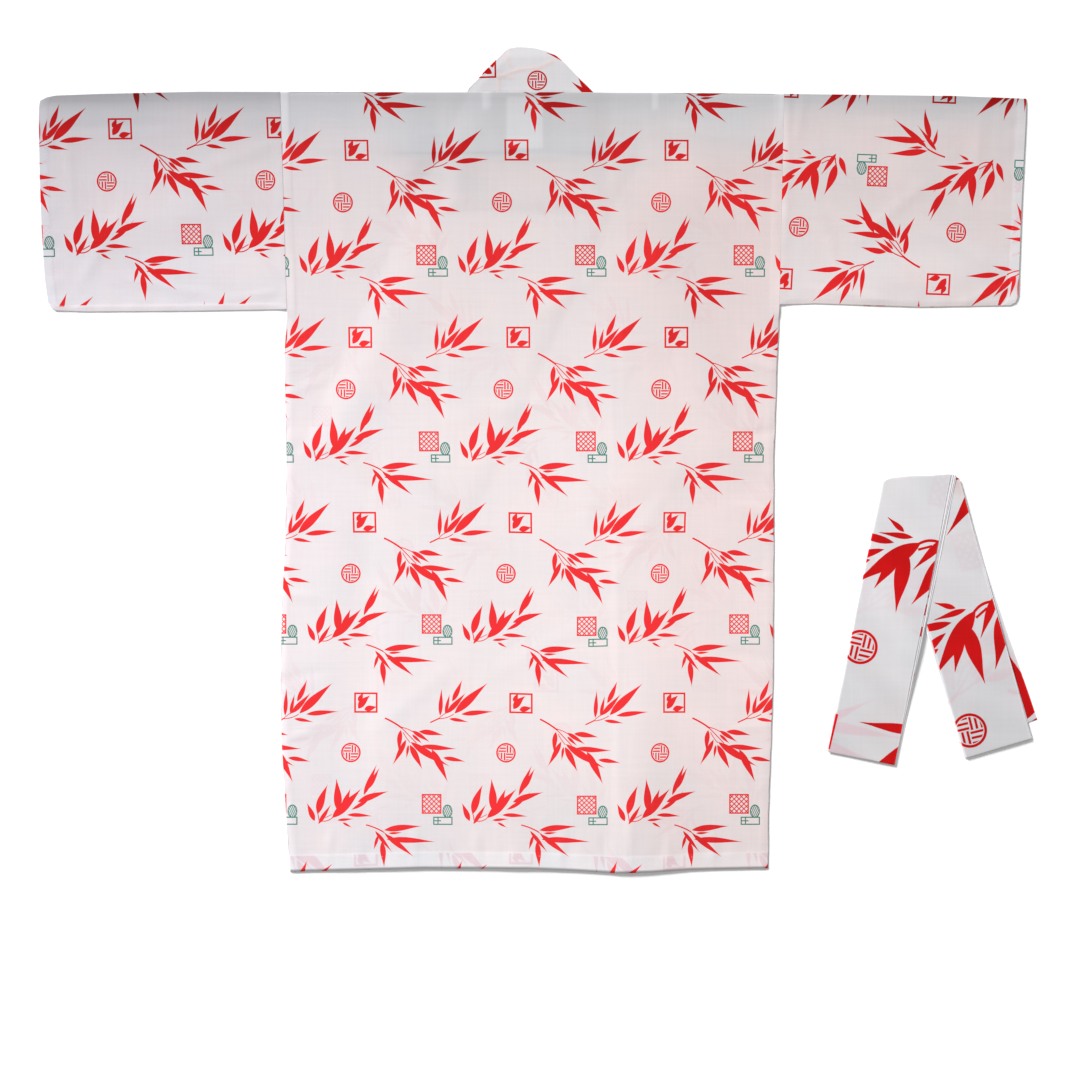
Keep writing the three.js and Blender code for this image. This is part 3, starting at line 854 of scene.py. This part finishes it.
def belt_base(leg):
    """Height that a leg of the belt lies at: over the tail, and over the lower leg."""

    def over(beneath, base, x, y):
        """Lies over another leg, and comes down to the ground some way beside it."""
        foot, length, along = leg_line(beneath)
        forward = (x - foot[0]) * along[0] + (y - foot[1]) * along[1]
        across = np.abs((x - foot[0]) * along[1] - (y - foot[1]) * along[0])
        distance = np.maximum(across - BELT_WIDTH / 2, np.maximum(-forward, forward - length))
        top = BELT_LEGS[beneath]["layers"] * BELT_LAYER + BELT_REST
        return (base + top) * ease(1 - (distance - 16) / 60)

    def over_tail(x, y):
        return over("tail", 0, x, y)

    def over_lower(x, y):
        return np.maximum(over_tail(x, y), over("lower", over_tail(x, y), x, y))

    return {"tail": ground, "lower": over_tail, "upper": over_lower}[leg]


# How far each layer of a leg stands out beyond its edge line, from the bottom up: its left edge, its right
# edge at the foot and at the head, and its foot.
BELT_OFFSETS = {
    "upper": table("left foot_right head_right foot",
                   (-2, 0.8, 3.4, -1.5), (-1.6, 0, 0.8, -1), (-1, -1, -1.8, -2.4), (0, -2.2, -4.2, 0)),
    "lower": table("left foot_right head_right foot", (-1.5, 1.6, 6.4, -21), (-1, 1, 6, -1), (1.2, 0.2, 5.4, 0)),
    "tail": table("left foot_right head_right foot", (0, 0, 0, 0)),
}
# Where along each leg the edges beneath the top one show their print, from foot to head.
BELT_EDGE_PRINT = {"upper": (0.3, 0.58), "lower": (0.84, 0.9), "tail": (0, 1)}
# How far each leg's head reaches past square, from its left edge (-1) to its right edge (1).
BELT_HEADS = {
    "upper": table("across reach", (-1, -13), (-0.93, -8.5), (-0.8, -5), (-0.3, 2), (0.3, 7.5), (0.8, 14), (1, 15)),
    "lower": table("across reach", (-1, 0), (0.5, 0), (0.8, -1), (0.93, -3), (1.05, -6), (1.15, -12)),
    "tail": table("across reach", (-1, -14), (0.5, -14), (0.8, -17), (0.93, -22), (1, -28)),
}


# Round a doubled layer's section: over the top from left to right, round the right edge, back beneath and
# round the left edge. "out" is how far round an edge, and "up" how high in the layer.
FLAT = np.linspace(-1, 1, 44)
BEND = np.radians(np.linspace(90, -90, 7))[1:-1]
SECTION = {
    "across": np.concatenate((FLAT, np.ones(5), FLAT[::-1], -np.ones(5))),
    "out": np.concatenate((0 * FLAT, np.cos(BEND), 0 * FLAT, -np.cos(BEND))),
    "up": np.concatenate((0 * FLAT + 1, (1 + np.sin(BEND)) / 2, 0 * FLAT, (1 - np.sin(BEND)) / 2)),
}
# Distances from a leg's rolled end, and how full the layer is there.
END_STATIONS = np.array([0.0, 0.15, 0.45, 0.9])
END_FULLNESS = np.array([0.04, 0.5, 0.85, 1.0])
LEG_STEPS = 110
LAYER_GAP = 0.15
LOWEST_LAYER = 0.03  # height above the ground that no layer goes under


def tube_faces(rows, columns, first):
    """Quads of a flat tube with its section along the columns, closed at both ends."""
    ids = np.arange(rows * columns).reshape(rows, columns) + first
    following = np.roll(ids, -1, 1)
    faces = [np.stack((ids[:-1], following[:-1], following[1:], ids[1:]), -1).reshape(-1, 4)]
    # The section's two long sides mirror each other about its middle.
    k = np.arange(len(FLAT) + len(BEND) - 1)
    mirror = (2 * len(FLAT) + len(BEND) - 1 - np.arange(columns)) % columns
    for row, outward in ((ids[0], -1), (ids[-1], 1)):
        cap = np.stack((row[k], row[k + 1], row[mirror[k + 1]], row[mirror[k]]), -1)
        cap = cap[(cap[:, 0] != cap[:, 3]) & (cap[:, 1] != cap[:, 2])]
        faces.append(cap[:, ::outward])
    return faces


def build_leg(leg):
    """A stack of doubled layers, each a flat tube with rounded edges and a rolled foot and head."""
    foot, length, along = leg_line(leg)
    side = np.array([along[1], -along[0]])  # to the right when looking up the leg
    layers, base, half = BELT_LEGS[leg]["layers"], belt_base(leg), BELT_WIDTH / 2 - 0.5
    middle = np.linspace(0.008, 0.992, LEG_STEPS)
    share = np.concatenate((END_STATIONS / length, middle, 1 - END_STATIONS[::-1] / length))
    fullness = np.concatenate((END_FULLNESS, np.ones(LEG_STEPS), END_FULLNESS[::-1]))
    t, k = np.meshgrid(share, np.arange(len(SECTION["across"])), indexing="ij")
    s, round_edge, up = (SECTION[key][k] for key in ("across", "out", "up"))
    fill = fullness[:, None] + 0 * t
    points, faces, facts = [], [], []
    for i in range(layers):
        on_top = i == layers - 1
        left, foot_right, head_right, past_foot = (column[i] for column in BELT_OFFSETS[leg].values())
        right = mix(foot_right, head_right, t)
        across = np.where(s > 0, s * (half + right), s * (half - left)) + round_edge * 0.5
        forward = mix(-past_foot, length + read(BELT_HEADS[leg], "reach", across / half), t)
        # Long edges of cut and folded cloth aren't quite straight.
        across = across + 0.5 * np.sin(forward / 37 + i * 2 + s) * ease(abs(s))
        x = foot[0] + along[0] * forward + side[0] * across
        y = foot[1] + along[1] * forward + side[1] * across
        soft = 0.10 * np.sin(forward / 23 + 1.7 * i) * np.sin(across / 17 + i)
        soft = soft + 0.06 * np.sin(forward / 9 + across / 13)
        puff = (0.2 * (1 - np.abs(s) ** 3) + 1.6 * soft + 0.1) * (1 if on_top else 0.3)
        level = 0.5 + (up - 0.5) * fill
        z = base(x, y) + i * BELT_LAYER + level * (BELT_LAYER - LAYER_GAP) + up * puff * fill
        z = np.maximum(z, LOWEST_LAYER)
        faces += tube_faces(*x.shape, i * x.size)
        points.append(np.stack((x, y, z), -1).reshape(-1, 3))

        # Folded edges are lighter, partly for the light that comes through them and partly as a painted highlight
        # against the shade of their rolled walls. The cloth at the knuckle between the legs is darker and pinker.
        knuckle = ease((t - 0.9) / 0.06) if leg == "lower" else 0 * t
        # Layers beneath the top one are painted lighter, to offset the shade they lie in.
        light = mix(209, 219, ease(t * 1.3)) - (0 if leg == "upper" else 4) + (0 if on_top else 14)
        light = light + (16 if on_top else 24) * ease((abs(s) - 0.962) / 0.03)
        # Painted highlight on the rounded bends, and painted light and shade that follow the soft waves of the cloth.
        light = light + 36 * (round_edge > 0.2) + 22 * soft - 14 * knuckle
        print_at, ink = PRINT_BELT[leg], 0.8 + 0 * light
        if not on_top:
            print_at = print_turned((foot[0] + 31 * i, foot[1] - 40), 75 * i + 20, BELT_PRINT_SCALE, (60, 20))
            start, end = BELT_EDGE_PRINT[leg]
            ink = np.where((t > start) & (t < end) & (s > 0), ink, NO_PRINT)
        tone = (*toned(light, 0.12 + 0.9 * knuckle), ink, mix(0.02, -0.06, ease((y + 165) / 50)))
        facts.append(cloth_facts(x, y, print_at, lambda *_: tone, beneath_belt(leg, 0.09)))
    merged = {key: np.concatenate([fact[key].reshape(-1, 3) for fact in facts]) for key in facts[0]}
    return collect(f"folded_belt_{leg}", np.concatenate(points), np.concatenate(faces), merged)


# ---- Materials ----
class Wire:
    """A socket of a node tree, with arithmetic that adds Math nodes, or Vector Math nodes for a vector."""

    def __init__(self, tree, socket):
        self.tree, self.socket = tree, socket

    def feed(self, socket):
        self.tree.links.new(self.socket, socket)

    def node(self, kind, settings=None, inputs=None, output=0):
        """A new node: its settings go first, then each input takes its value or its link."""
        made = self.tree.nodes.new(kind)
        for key, value in (settings or {}).items():
            setattr(made, key, value)
        for key, value in (inputs or {}).items():
            if isinstance(value, Wire):
                value.feed(made.inputs[key])
            else:
                made.inputs[key].default_value = value
        return Wire(self.tree, made.outputs[output])

    def outputs(self):
        """All the outputs of this socket's node."""
        return [Wire(self.tree, output) for output in self.socket.node.outputs]

    @property
    def is_vector(self):
        return self.socket.type in ("VECTOR", "RGBA")

    def math(self, operation, *others, clamp=False):
        values = dict(enumerate((self, *others)))
        if any(isinstance(v, Wire) and v.is_vector for v in values.values()):
            for key, value in values.items():
                if isinstance(value, (int, float)):
                    values[key] = (value, value, value)
            return self.node("ShaderNodeVectorMath", {"operation": operation}, values)
        return self.node("ShaderNodeMath", {"operation": operation, "use_clamp": clamp}, values)

    def __add__(self, other):
        return self.math("ADD", other)

    def __sub__(self, other):
        return self.math("SUBTRACT", other)

    def __rsub__(self, other):
        return self.madd(-1, other)

    def __mul__(self, other):
        return self.math("MULTIPLY", other)

    __radd__, __rmul__ = __add__, __mul__

    def __abs__(self):
        return self.math("ABSOLUTE")

    def madd(self, factor, addend):
        return self.math("MULTIPLY_ADD", factor, addend)

    def most(self, other):
        return self.math("MAXIMUM", other)

    def least(self, other):
        return self.math("MINIMUM", other)

    def clamped(self):
        return self.math("ADD", 0.0, clamp=True)

    def parts(self):
        return self.node("ShaderNodeSeparateXYZ", None, {0: self}).outputs()

    def greatest_part(self):
        a, b, c = self.parts()
        return a.most(b).most(c)

    def vector(self, y, z):
        return self.node("ShaderNodeCombineXYZ", None, {0: self, 1: y, 2: z})

    def in_three(self):
        return self.vector(self, self)

    def wrapped(self, low, high):
        if self.is_vector:
            return self.node("ShaderNodeVectorMath", {"operation": "WRAP"}, {0: self, 1: high, 2: low})
        return self.math("WRAP", high, low)

    def ramp(self, low, high, to_low=0.0, to_high=1.0):
        kind = {"interpolation_type": "SMOOTHSTEP"}
        return self.node("ShaderNodeMapRange", kind, {0: self, 1: low, 2: high, 3: to_low, 4: to_high})

    def noise(self, scale, detail):
        return self.node("ShaderNodeTexNoise", None, {"Vector": self, "Scale": scale, "Detail": detail}, "Fac")

    def blend(self, first, second):
        """Two colours mixed by this factor."""
        return self.node("ShaderNodeMix", {"data_type": "RGBA"}, {0: self, 6: first, 7: second}, 2)


# Sprays of bamboo grass. Each has its foot's place in the repeat, its leaves and its stems, and each of
# these its root from the foot, lean in degrees, length, width and bend.
LEAF = "x y lean length width bend"
SPRAYS = {
    "upright": (
        (105, 40),
        table(LEAF, (13, 9, 87, 37, 5.5, 0), (20, 11, 78, 28, 4.5, 0.3), (29, 28, 66, 32, 6.5, -0.6),
              (21, 12, 47, 38, 7, -0.4), (32, 12, 43, 60, 11, 0.5), (41, 11, 5, 43, 6.5, 0.4),
              (25, 5, -10, 26, 4.5, 0.3)),
        table(LEAF, (0, 0, 25, 14, 1.7, 0), (11, 5, 38, 13, 1.0, 0.5), (11, 5, 17, 21, 1.1, -1.5)),
    ),
    "hanging": (
        (45, 46),
        table(LEAF, (21, -16, -94, 30, 6.5, -0.8), (28, -29, -118, 38, 6.5, 0.5), (31, -36, -98, 18, 3.5, 0),
              (33, -36, -63, 36, 8, 0.3), (34, -32, -32, 61, 9.5, -1.2), (62, -42, -64, 48, 9, 0.6),
              (48, -37, -5, 47, 7, -0.7), (77, -53, -10, 30, 5.5, 0.5), (45, -18, -9, 33, 7, 0.8),
              (36, -17, -33, 28, 5.5, 0.3), (36, -22, -43, 18, 3.8, 0)),
        table(LEAF, (0, 0, -31, 27, 2.2, 0.8), (21, -12, -46, 30, 1.2, 0), (24, -19, -56, 17, 1.0, -0.5),
              (21, -12, -22, 18, 1.1, 0.8)),
    ),
    "fan": (
        (-43, -90),
        table(LEAF, (-5, 0, 113, 26, 7, 0), (-1, 9, 71, 41, 10, 1.5), (0, -4, 57, 31, 5.5, 0),
              (26, 13, 93, 43, 10.5, -0.6), (31, 14, 68, 31, 7.5, 0), (18, 4, 45, 55, 11.5, -0.8),
              (60, 34, 67, 44, 6.5, 0), (66, 42, 62, 32, 5.5, 0), (52, 25, 19, 43, 8, 1),
              (44, 15, 38, 40, 5, -2.4), (38, 8, -3, 34, 5, 0.6), (25, 1, 5, 22, 3.5, 0),
              (32, -2, -28, 14, 3, 0)),
        table(LEAF, (-1, 10, -80, 9, 1.2, 0.4), (3, 0, 17, 17, 1.2, -2.2), (9, 4, 28, 10, 0.9, 0)),
    ),
    "small": (
        (20, -95),
        table(LEAF, (24, -7, 6, 50, 8, 0.9), (27, -19, -3, 65, 7.5, 0.5), (25, -12, -38, 49, 7, 0),
              (12, -8, -51, 36, 5, 0), (16, -14, -107, 20, 4, 0), (21, -22, -85, 34, 7.5, 0.4),
              (30, -11, 4, 18, 3, -0.4)),
        table(LEAF, (0, 0, -22, 25, 1.7, 0.9), (22, -9, -35, 14, 1.0, 0)),
    ),
}
LEAF_BASE = 0.2  # lower draws a leaf's tip out longer
LEAF_FULLNESS = 0.1935  # greatest value of the leaf's outline curve


def leaf_trio(px, py, rows, pick, stems=False):
    """How far inside three leaves or stems a point is, one of them in each part of a vector."""
    x, y, lean, length, width, bend = (np.array([rows[key][i] for i in pick]) for key in rows)
    cos, sin = np.cos(np.radians(lean)), np.sin(np.radians(lean))

    def three(values):
        return tuple(map(float, values))

    along = px.madd(three(cos / length), py.madd(three(sin / length), three(-(x * cos + y * sin) / length)))
    across = px.madd(three(-sin), py.madd(three(cos), three(x * sin - y * cos)))
    left = along.madd((-1, -1, -1), (1, 1, 1))
    bow = along * left
    off_middle = abs(bow.madd(three(-4 * bend), across))
    if stems:
        return bow.madd(three(length), three(0 * length)).least(three(width / 2) - off_middle)
    full = width / 2 / LEAF_FULLNESS
    outline = bow * abs(left).madd(three(full), three(LEAF_BASE * full))
    return outline - off_middle


def local(place, centre):
    """Place in the repeat, counted from the nearest copy of a motif's centre."""
    shifted = place + (-centre[0], -centre[1], 0)
    half = (REPEAT_U / 2, REPEAT_V / 2, 1)
    return shifted.wrapped(tuple(-h for h in half), half)


def spray_field(place, name):
    foot, rows, stems = SPRAYS[name]
    leans = np.radians(rows["lean"])
    tips = (rows["x"] + rows["length"] * np.cos(leans), rows["y"] + rows["length"] * np.sin(leans))
    middle = [float((tip.max() + tip.min()) / 2) for tip in tips]
    here = local(place, (foot[0] + middle[0], foot[1] + middle[1])) + (middle[0], middle[1], 0)
    x, y, _ = here.parts()
    px, py = x.in_three(), y.in_three()
    trios = []
    for part, is_stems in ((rows, False), (stems, True)):
        last = len(part["x"]) - 1
        for first in range(0, last + 1, 3):
            trios.append(leaf_trio(px, py, part, [min(first + k, last) for k in range(3)], is_stems))
    return reduce(Wire.most, trios).greatest_part()


def bars(value, pitch, half_width):
    """How far inside the nearest of a row of bars a value is."""
    return half_width - abs(value.wrapped(-pitch / 2, pitch / 2))


def box(x, y, half_x, half_y):
    """How far outside a box about the origin a point is."""
    return (abs(x) - half_x).most(abs(y) - half_y)


def away(x, y):
    return (x * x + y * y).math("SQRT")


def round_seal(place):
    """A ring round a woven figure of bars."""
    x, y, _ = local(place, (0, 0)).parts()
    radius = away(x, y)
    ring = 1.05 - abs(radius - 11.9)
    upright, level = bars(x + 1.9, 3.9, 0.95), bars(y + 1.9, 3.9, 0.95)
    woven = (x * y).math("GREATER_THAN", 0.0)
    inside = woven * upright + (1 - woven) * level
    return ring.most(inside.least(10.2 - radius))


def leaf_seal(place):
    """A square frame round three small leaves."""
    x, y, _ = local(place, (19.8, 66.5)).parts()
    rows = table(LEAF, (-10, -8, 48, 24, 9, 1.5), (-2, -9, 12, 17, 7.5, 0), (-10, 2, 62, 13, 6, -0.5))
    leaves = leaf_trio(x.in_three(), y.in_three(), rows, range(3)).greatest_part()
    return (1.15 - abs(box(x, y, 14.3, 12.4))).most(leaves)


def lattice_seal(place):
    """A square frame filled with a slanted lattice."""
    x, y, _ = local(place, (106.7, -67.5)).parts()
    edge = box(x, y, 12.2, 12.2)
    lattice = bars(x + y, 6.4, 0.9).most(bars(x - y, 6.4, 0.9))
    return (0.8 - abs(edge)).most(lattice.least(-1 * edge))


def green_seals(place):
    """A small oval of slanted lines over a low frame."""
    x, y, _ = local(place, (123.2, -83.2)).parts()
    oval_x, oval_y = (x - 4.5) * 1.35, y - 6
    radius = away(oval_x, oval_y)
    lines = bars(oval_x + oval_y * 0.6, 3.4, 0.8).least(7.6 - radius)
    oval = (0.8 - abs(radius - 8.0)).most(lines)
    edge = box(x + 1.6, y + 6.5, 12, 4.6)
    cross = (0.7 - abs(x + 8)).most(0.7 - abs(y + 6.5)).least(-1 * edge).least(-4 - x)
    return oval.most(0.75 - abs(edge)).most(cross)


def print_group():
    """The cloth's whole print: how far inside its seals, leaves and green parts a place is, in millimetres."""
    group = bpy.data.node_groups.new("bamboo grass and seal print", "ShaderNodeTree")
    group.interface.new_socket("Place", in_out="INPUT", socket_type="NodeSocketVector")
    for name in ("Seals", "Leaves", "Green"):
        group.interface.new_socket(name, in_out="OUTPUT", socket_type="NodeSocketFloat")
    place = Wire(group, group.nodes.new("NodeGroupInput").outputs[0])
    seals = reduce(Wire.most, (seal(place) for seal in (round_seal, leaf_seal, lattice_seal)))
    leaves = reduce(Wire.most, (spray_field(place, name) for name in SPRAYS))
    end = group.nodes.new("NodeGroupOutput")
    for socket, part in enumerate((seals, leaves, green_seals(place))):
        part.feed(end.inputs[socket])
    return group


PRINT = print_group()
WHITE, PINKISH = (0.69, 0.69, 0.715, 1), (0.81, 0.69, 0.683, 1)
RED_INK = (0.795, 0.028, 0.032, 1)
DEEP_RED_INK = (0.66, 0.001, 0.002, 1)  # where the print is newer or lies thicker
GREEN_INK = (0.04, 0.22, 0.17)
GHOST = (0.64, 0.20, 0.29, 1)
THREAD_PITCH = 1.1


def new_material(name):
    made = bpy.data.materials.new(name)
    made.use_nodes = True
    return made, made.node_tree.nodes["Principled BSDF"]


def new_cloth(name):
    """A material, its shader, and the place on the cloth in millimetres."""
    made, surface = new_material(name)
    return made, surface, Wire(made.node_tree, surface.outputs[0]).node("ShaderNodeTexCoord", output="Object") * 1000


def finish(surface, colour, rough, relief=None, strength=0.3):
    """Feeds a cloth's shader. A relief of 1 stands 0.2 mm high."""
    colour.feed(surface.inputs["Base Color"])
    rough.feed(surface.inputs["Roughness"])
    if relief is not None:
        bump = relief.node("ShaderNodeBump", None, {"Strength": strength, "Distance": 0.0002, "Height": relief})
        bump.feed(surface.inputs["Normal"])


def printed_cotton():
    """White plain-weave cotton with the print, and the print of what lies beneath faintly showing through."""
    made, surface, mm = new_cloth("printed_cotton")
    place, under, tone = (
        mm.node("ShaderNodeAttribute", {"attribute_name": key}, output="Vector")
        for key in ("print_place", "under_place", "tone"))
    light, pink, ink_depth = tone.parts()
    _, _, ink_lift = place.parts()
    _, _, strength = under.parts()
    x, y, _ = mm.parts()

    seals, leaves, green = place.node("ShaderNodeGroup", {"node_tree": PRINT}, {0: place}).outputs()
    seals_beneath, leaves_beneath, _ = under.node("ShaderNodeGroup", {"node_tree": PRINT}, {0: under}).outputs()
    wobble = mm.noise(0.9, 1.0) * 0.3
    inked = (ink_depth + 1).least(1.0)
    red = seals.most(leaves + ink_depth.most(0.0) * 0.65)
    red_mask, green_mask = ((field + wobble - 0.15).ramp(-0.2, 0.2) * inked for field in (red, green))
    ghost = seals_beneath.most(leaves_beneath).ramp(-1.4, 0.8) * strength

    # Thin places and slubs of the weave, and faint clouds where layers touch.
    clouds = mm.noise(0.012, 3.0) - 0.5
    warp_slubs, weft_slubs = ((mm * stretch).noise(1.0, 2.0) for stretch in ((0.30, 0.012, 0.1), (0.012, 0.30, 0.1)))
    # The tone's lightness carries both the cloth's own shades and the painted shade laid on each piece.
    level = light * (clouds * 0.05 + (warp_slubs - 0.5) * 0.06 + (weft_slubs - 0.5) * 0.06 + 1)
    bluer = level * x.ramp(-640, 40, 1.035, 1.0)  # towards the wearer's left
    cotton = ghost.blend((pink + clouds * 0.9).clamped().blend(WHITE, PINKISH) * level.vector(level, bluer), GHOST)
    # The ink darkens with the cloth's tone, and so takes the cloth's painted shade, more strongly than the cloth
    # itself.
    ink_level = (level * 1.055 + ink_lift).least(1.0).math("POWER", 2.35)
    deep_level = ink_level * ink_level
    red_ink = ink_level.vector(deep_level, deep_level) * ink_depth.blend(RED_INK, DEEP_RED_INK)
    cotton = red_mask.blend(cotton, red_ink)
    cotton = green_mask.blend(cotton, ink_level.in_three() * GREEN_INK)

    # Plain weave: threads over and under, in relief only.
    threads = (x * (math.tau / THREAD_PITCH)).math("SINE") * (y * (math.tau / THREAD_PITCH)).math("SINE")
    weave = threads * 0.5 + (warp_slubs + weft_slubs) * 0.8
    finish(surface, cotton, (weave * 0.03 + 0.86).clamped(), weave, 0.35)
    surface.inputs["Specular IOR Level"].default_value = 0.12
    return made


def plain_tape():
    """Blank woven patch with a closer, smoother weave."""
    made, surface, mm = new_cloth("plain_tape")
    _, y, _ = mm.parts()
    ribs = (y * (math.tau / 0.8)).math("SINE")
    grain = mm.noise(0.4, 2.0)
    finish(surface, grain.blend((0.80, 0.80, 0.82, 1), (0.88, 0.88, 0.89, 1)), grain * 0.1 + 0.6, ribs + grain)
    return made


def sewing_thread():
    made, surface, mm = new_cloth("white_thread")
    twist = mm.noise(3.0, 1.0)
    finish(surface, twist.blend((0.74, 0.74, 0.75, 1), (0.84, 0.84, 0.84, 1)), twist * 0.2 + 0.5)
    return made


COTTON, TAPE, THREAD = printed_cotton(), plain_tape(), sewing_thread()


# ---- Stitches ----
def stitch_tree():
    """Running stitches along a line: short threads lying on it, a little uneven."""
    tree = bpy.data.node_groups.new("running stitch", "GeometryNodeTree")
    inputs = {"Line": "Geometry", "Pitch": "Float", "Length": "Float", "Thickness": "Float", "Seed": "Int",
              "Thread": "Material"}
    for name, kind in inputs.items():
        tree.interface.new_socket(name, in_out="INPUT", socket_type="NodeSocket" + kind)
    tree.interface.new_socket("Stitches", in_out="OUTPUT", socket_type="NodeSocketGeometry")
    given = tree.nodes.new("NodeGroupInput")
    line, pitch, length, thickness, seed, thread = (Wire(tree, given.outputs[name]) for name in inputs)
    curve = line.node("GeometryNodeMeshToCurve", None, {"Mesh": line})
    spaced = curve.node("GeometryNodeCurveToPoints", {"mode": "LENGTH"}, {"Curve": curve, "Length": pitch})
    turn = Wire(tree, spaced.socket.node.outputs["Rotation"])
    bead = line.node("GeometryNodeMeshUVSphere", None, {"Segments": 6, "Rings": 4, "Radius": 0.5})
    size = line.node("FunctionNodeRandomValue", {"data_type": "FLOAT_VECTOR"},
                     {"Min": (0.9, 0.9, 0.8), "Max": (1.1, 1.1, 1.15), "Seed": seed})
    scale = thickness.vector(thickness, length) * size
    placed = line.node("GeometryNodeInstanceOnPoints", None,
                       {"Points": spaced, "Instance": bead, "Rotation": turn, "Scale": scale})
    real = placed.node("GeometryNodeRealizeInstances", None, {"Geometry": placed})
    done = real.node("GeometryNodeSetMaterial", None, {"Geometry": real, "Material": thread})
    done.feed(tree.nodes.new("NodeGroupOutput").inputs[0])
    return tree


STITCH = stitch_tree()
STITCH_SEED = 3


def sew(name, line, pitch, length, thickness):
    """Stitches along a line of points in millimetres, as one plain mesh."""
    mesh = bpy.data.meshes.new(name)
    mesh.from_pydata((line * MM).tolist(), [(k, k + 1) for k in range(len(line) - 1)], [])
    path = bpy.data.objects.new(name + "_path", mesh)
    bpy.context.collection.objects.link(path)
    modifier = path.modifiers.new("stitches", "NODES")
    modifier.node_group = STITCH
    given = {"Pitch": pitch * MM, "Length": length * MM, "Thickness": thickness * MM, "Seed": STITCH_SEED,
             "Thread": THREAD}
    for item in STITCH.interface.items_tree:
        if item.name in given:
            modifier[item.identifier] = given[item.name]
    evaluated = path.evaluated_get(bpy.context.evaluated_depsgraph_get())
    made = bpy.data.meshes.new_from_object(evaluated)
    bpy.data.objects.remove(path)
    for polygon in made.polygons:
        polygon.use_smooth = True
    return placed_thing(name, made)


def hem_stitches():
    x = np.linspace(-308, 303, 240)
    y = hem_y(x) + HEM_TURN - 5
    return sew("hem_stitches", np.stack((x, y, back_height(x, y) + 0.05), -1), 5.2, 1.9, 0.32)


def cuff_stitches(label):
    side, _, cuff = SLEEVES[label].values()
    y = np.linspace(234, 494, 120)
    x = read(cuff, "x", y) - side * (CUFF_TURN - 2)
    return sew(f"cuff_stitches_{label}", np.stack((x, y, sleeve_height(label, x, y) + 0.02), -1), 4.6, 1.4, 0.2)


# ---- Assembly ----
def hand_over(thing, *nodes, material=COTTON, slot="printed_cotton"):
    thing.data.materials.clear()
    thing.data.materials.append(material)
    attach(thing, "root")
    if nodes:
        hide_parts(*nodes)
    return thing


back = hand_over(build_back(), "back")
panels = {}
for label in NECKLINES:
    front, overlap = build_fronts(label)
    panels[label] = [
        hand_over(front, f"front_{label}"),
        hand_over(overlap, f"overlap_{label}"),
        hand_over(build_collar_side(label), f"collar_{label}"),
    ]
nape = hand_over(build_nape(), "collar_nape")
patch = hand_over(build_label(), "neck_label", material=TAPE, slot="plain_tape")
sleeves = {
    label: hand_over(build_sleeve(label), f"sleeve_{label}_front", f"sleeve_{label}_back") for label in SLEEVES}
legs = {
    leg: hand_over(build_leg(leg), "belt_tail" if leg == "tail" else f"belt_{leg}_leg")
    for leg in ("tail", "lower", "upper")
}
hem_thread = hand_over(hem_stitches(), material=THREAD)
cuff_threads = {label: hand_over(cuff_stitches(label), material=THREAD) for label in SLEEVES}

FLOOR = "stage_floor"
for label, (front, overlap, band) in panels.items():
    under = [FLOOR] if label == "left" else ["front_panel_left", FLOOR]
for leg, thing in legs.items():
    under = {"tail": [FLOOR], "lower": ["folded_belt_tail", FLOOR], "upper": ["folded_belt_lower", FLOOR]}[leg]

# ---- Stage ----
CAMERA_AT = (11.7, -78)
FRAME_WIDTH = 1404
FLOOR_HALF = 8.0  # metres
FLOOR_WHITE = 0.93
SKY_STRENGTH, SUN_STRENGTH, SUN_WIDTH = 0.45, 5.7, 16
SUN_TURN = (-66, 0, 42)


def build_stage():
    mesh = bpy.data.meshes.new(FLOOR)
    corners = [(x * FLOOR_HALF, y * FLOOR_HALF, 0) for x, y in ((-1, -1), (1, -1), (1, 1), (-1, 1))]
    mesh.from_pydata(corners, [], [(0, 1, 2, 3)])
    made, surface = new_material("pale_floor")
    surface.inputs["Base Color"].default_value = (FLOOR_WHITE, FLOOR_WHITE, FLOOR_WHITE, 1)
    surface.inputs["Roughness"].default_value = 0.9
    surface.inputs["Specular IOR Level"].default_value = 0.0
    mesh.materials.append(made)
    placed_thing(FLOOR, mesh)

    world = bpy.data.worlds.new("studio")
    bpy.context.scene.world = world
    world.use_nodes = True
    sky = world.node_tree.nodes["Background"]
    sky.inputs["Color"].default_value = (1, 1, 1, 1)
    sky.inputs["Strength"].default_value = SKY_STRENGTH

    sun = bpy.data.lights.new("window_light", "SUN")
    sun.energy, sun.angle = SUN_STRENGTH, math.radians(SUN_WIDTH)
    placed_thing("window_light", sun).rotation_euler = tuple(map(math.radians, SUN_TURN))

    view = bpy.data.cameras.new("overhead")
    view.lens, view.sensor_width = 85, 36
    camera = placed_thing("overhead", view)
    camera.location = (CAMERA_AT[0] * MM, CAMERA_AT[1] * MM, FRAME_WIDTH * MM * view.lens / view.sensor_width)
    bpy.context.scene.camera = camera
    bpy.context.scene.view_settings.view_transform = "Standard"


build_stage()
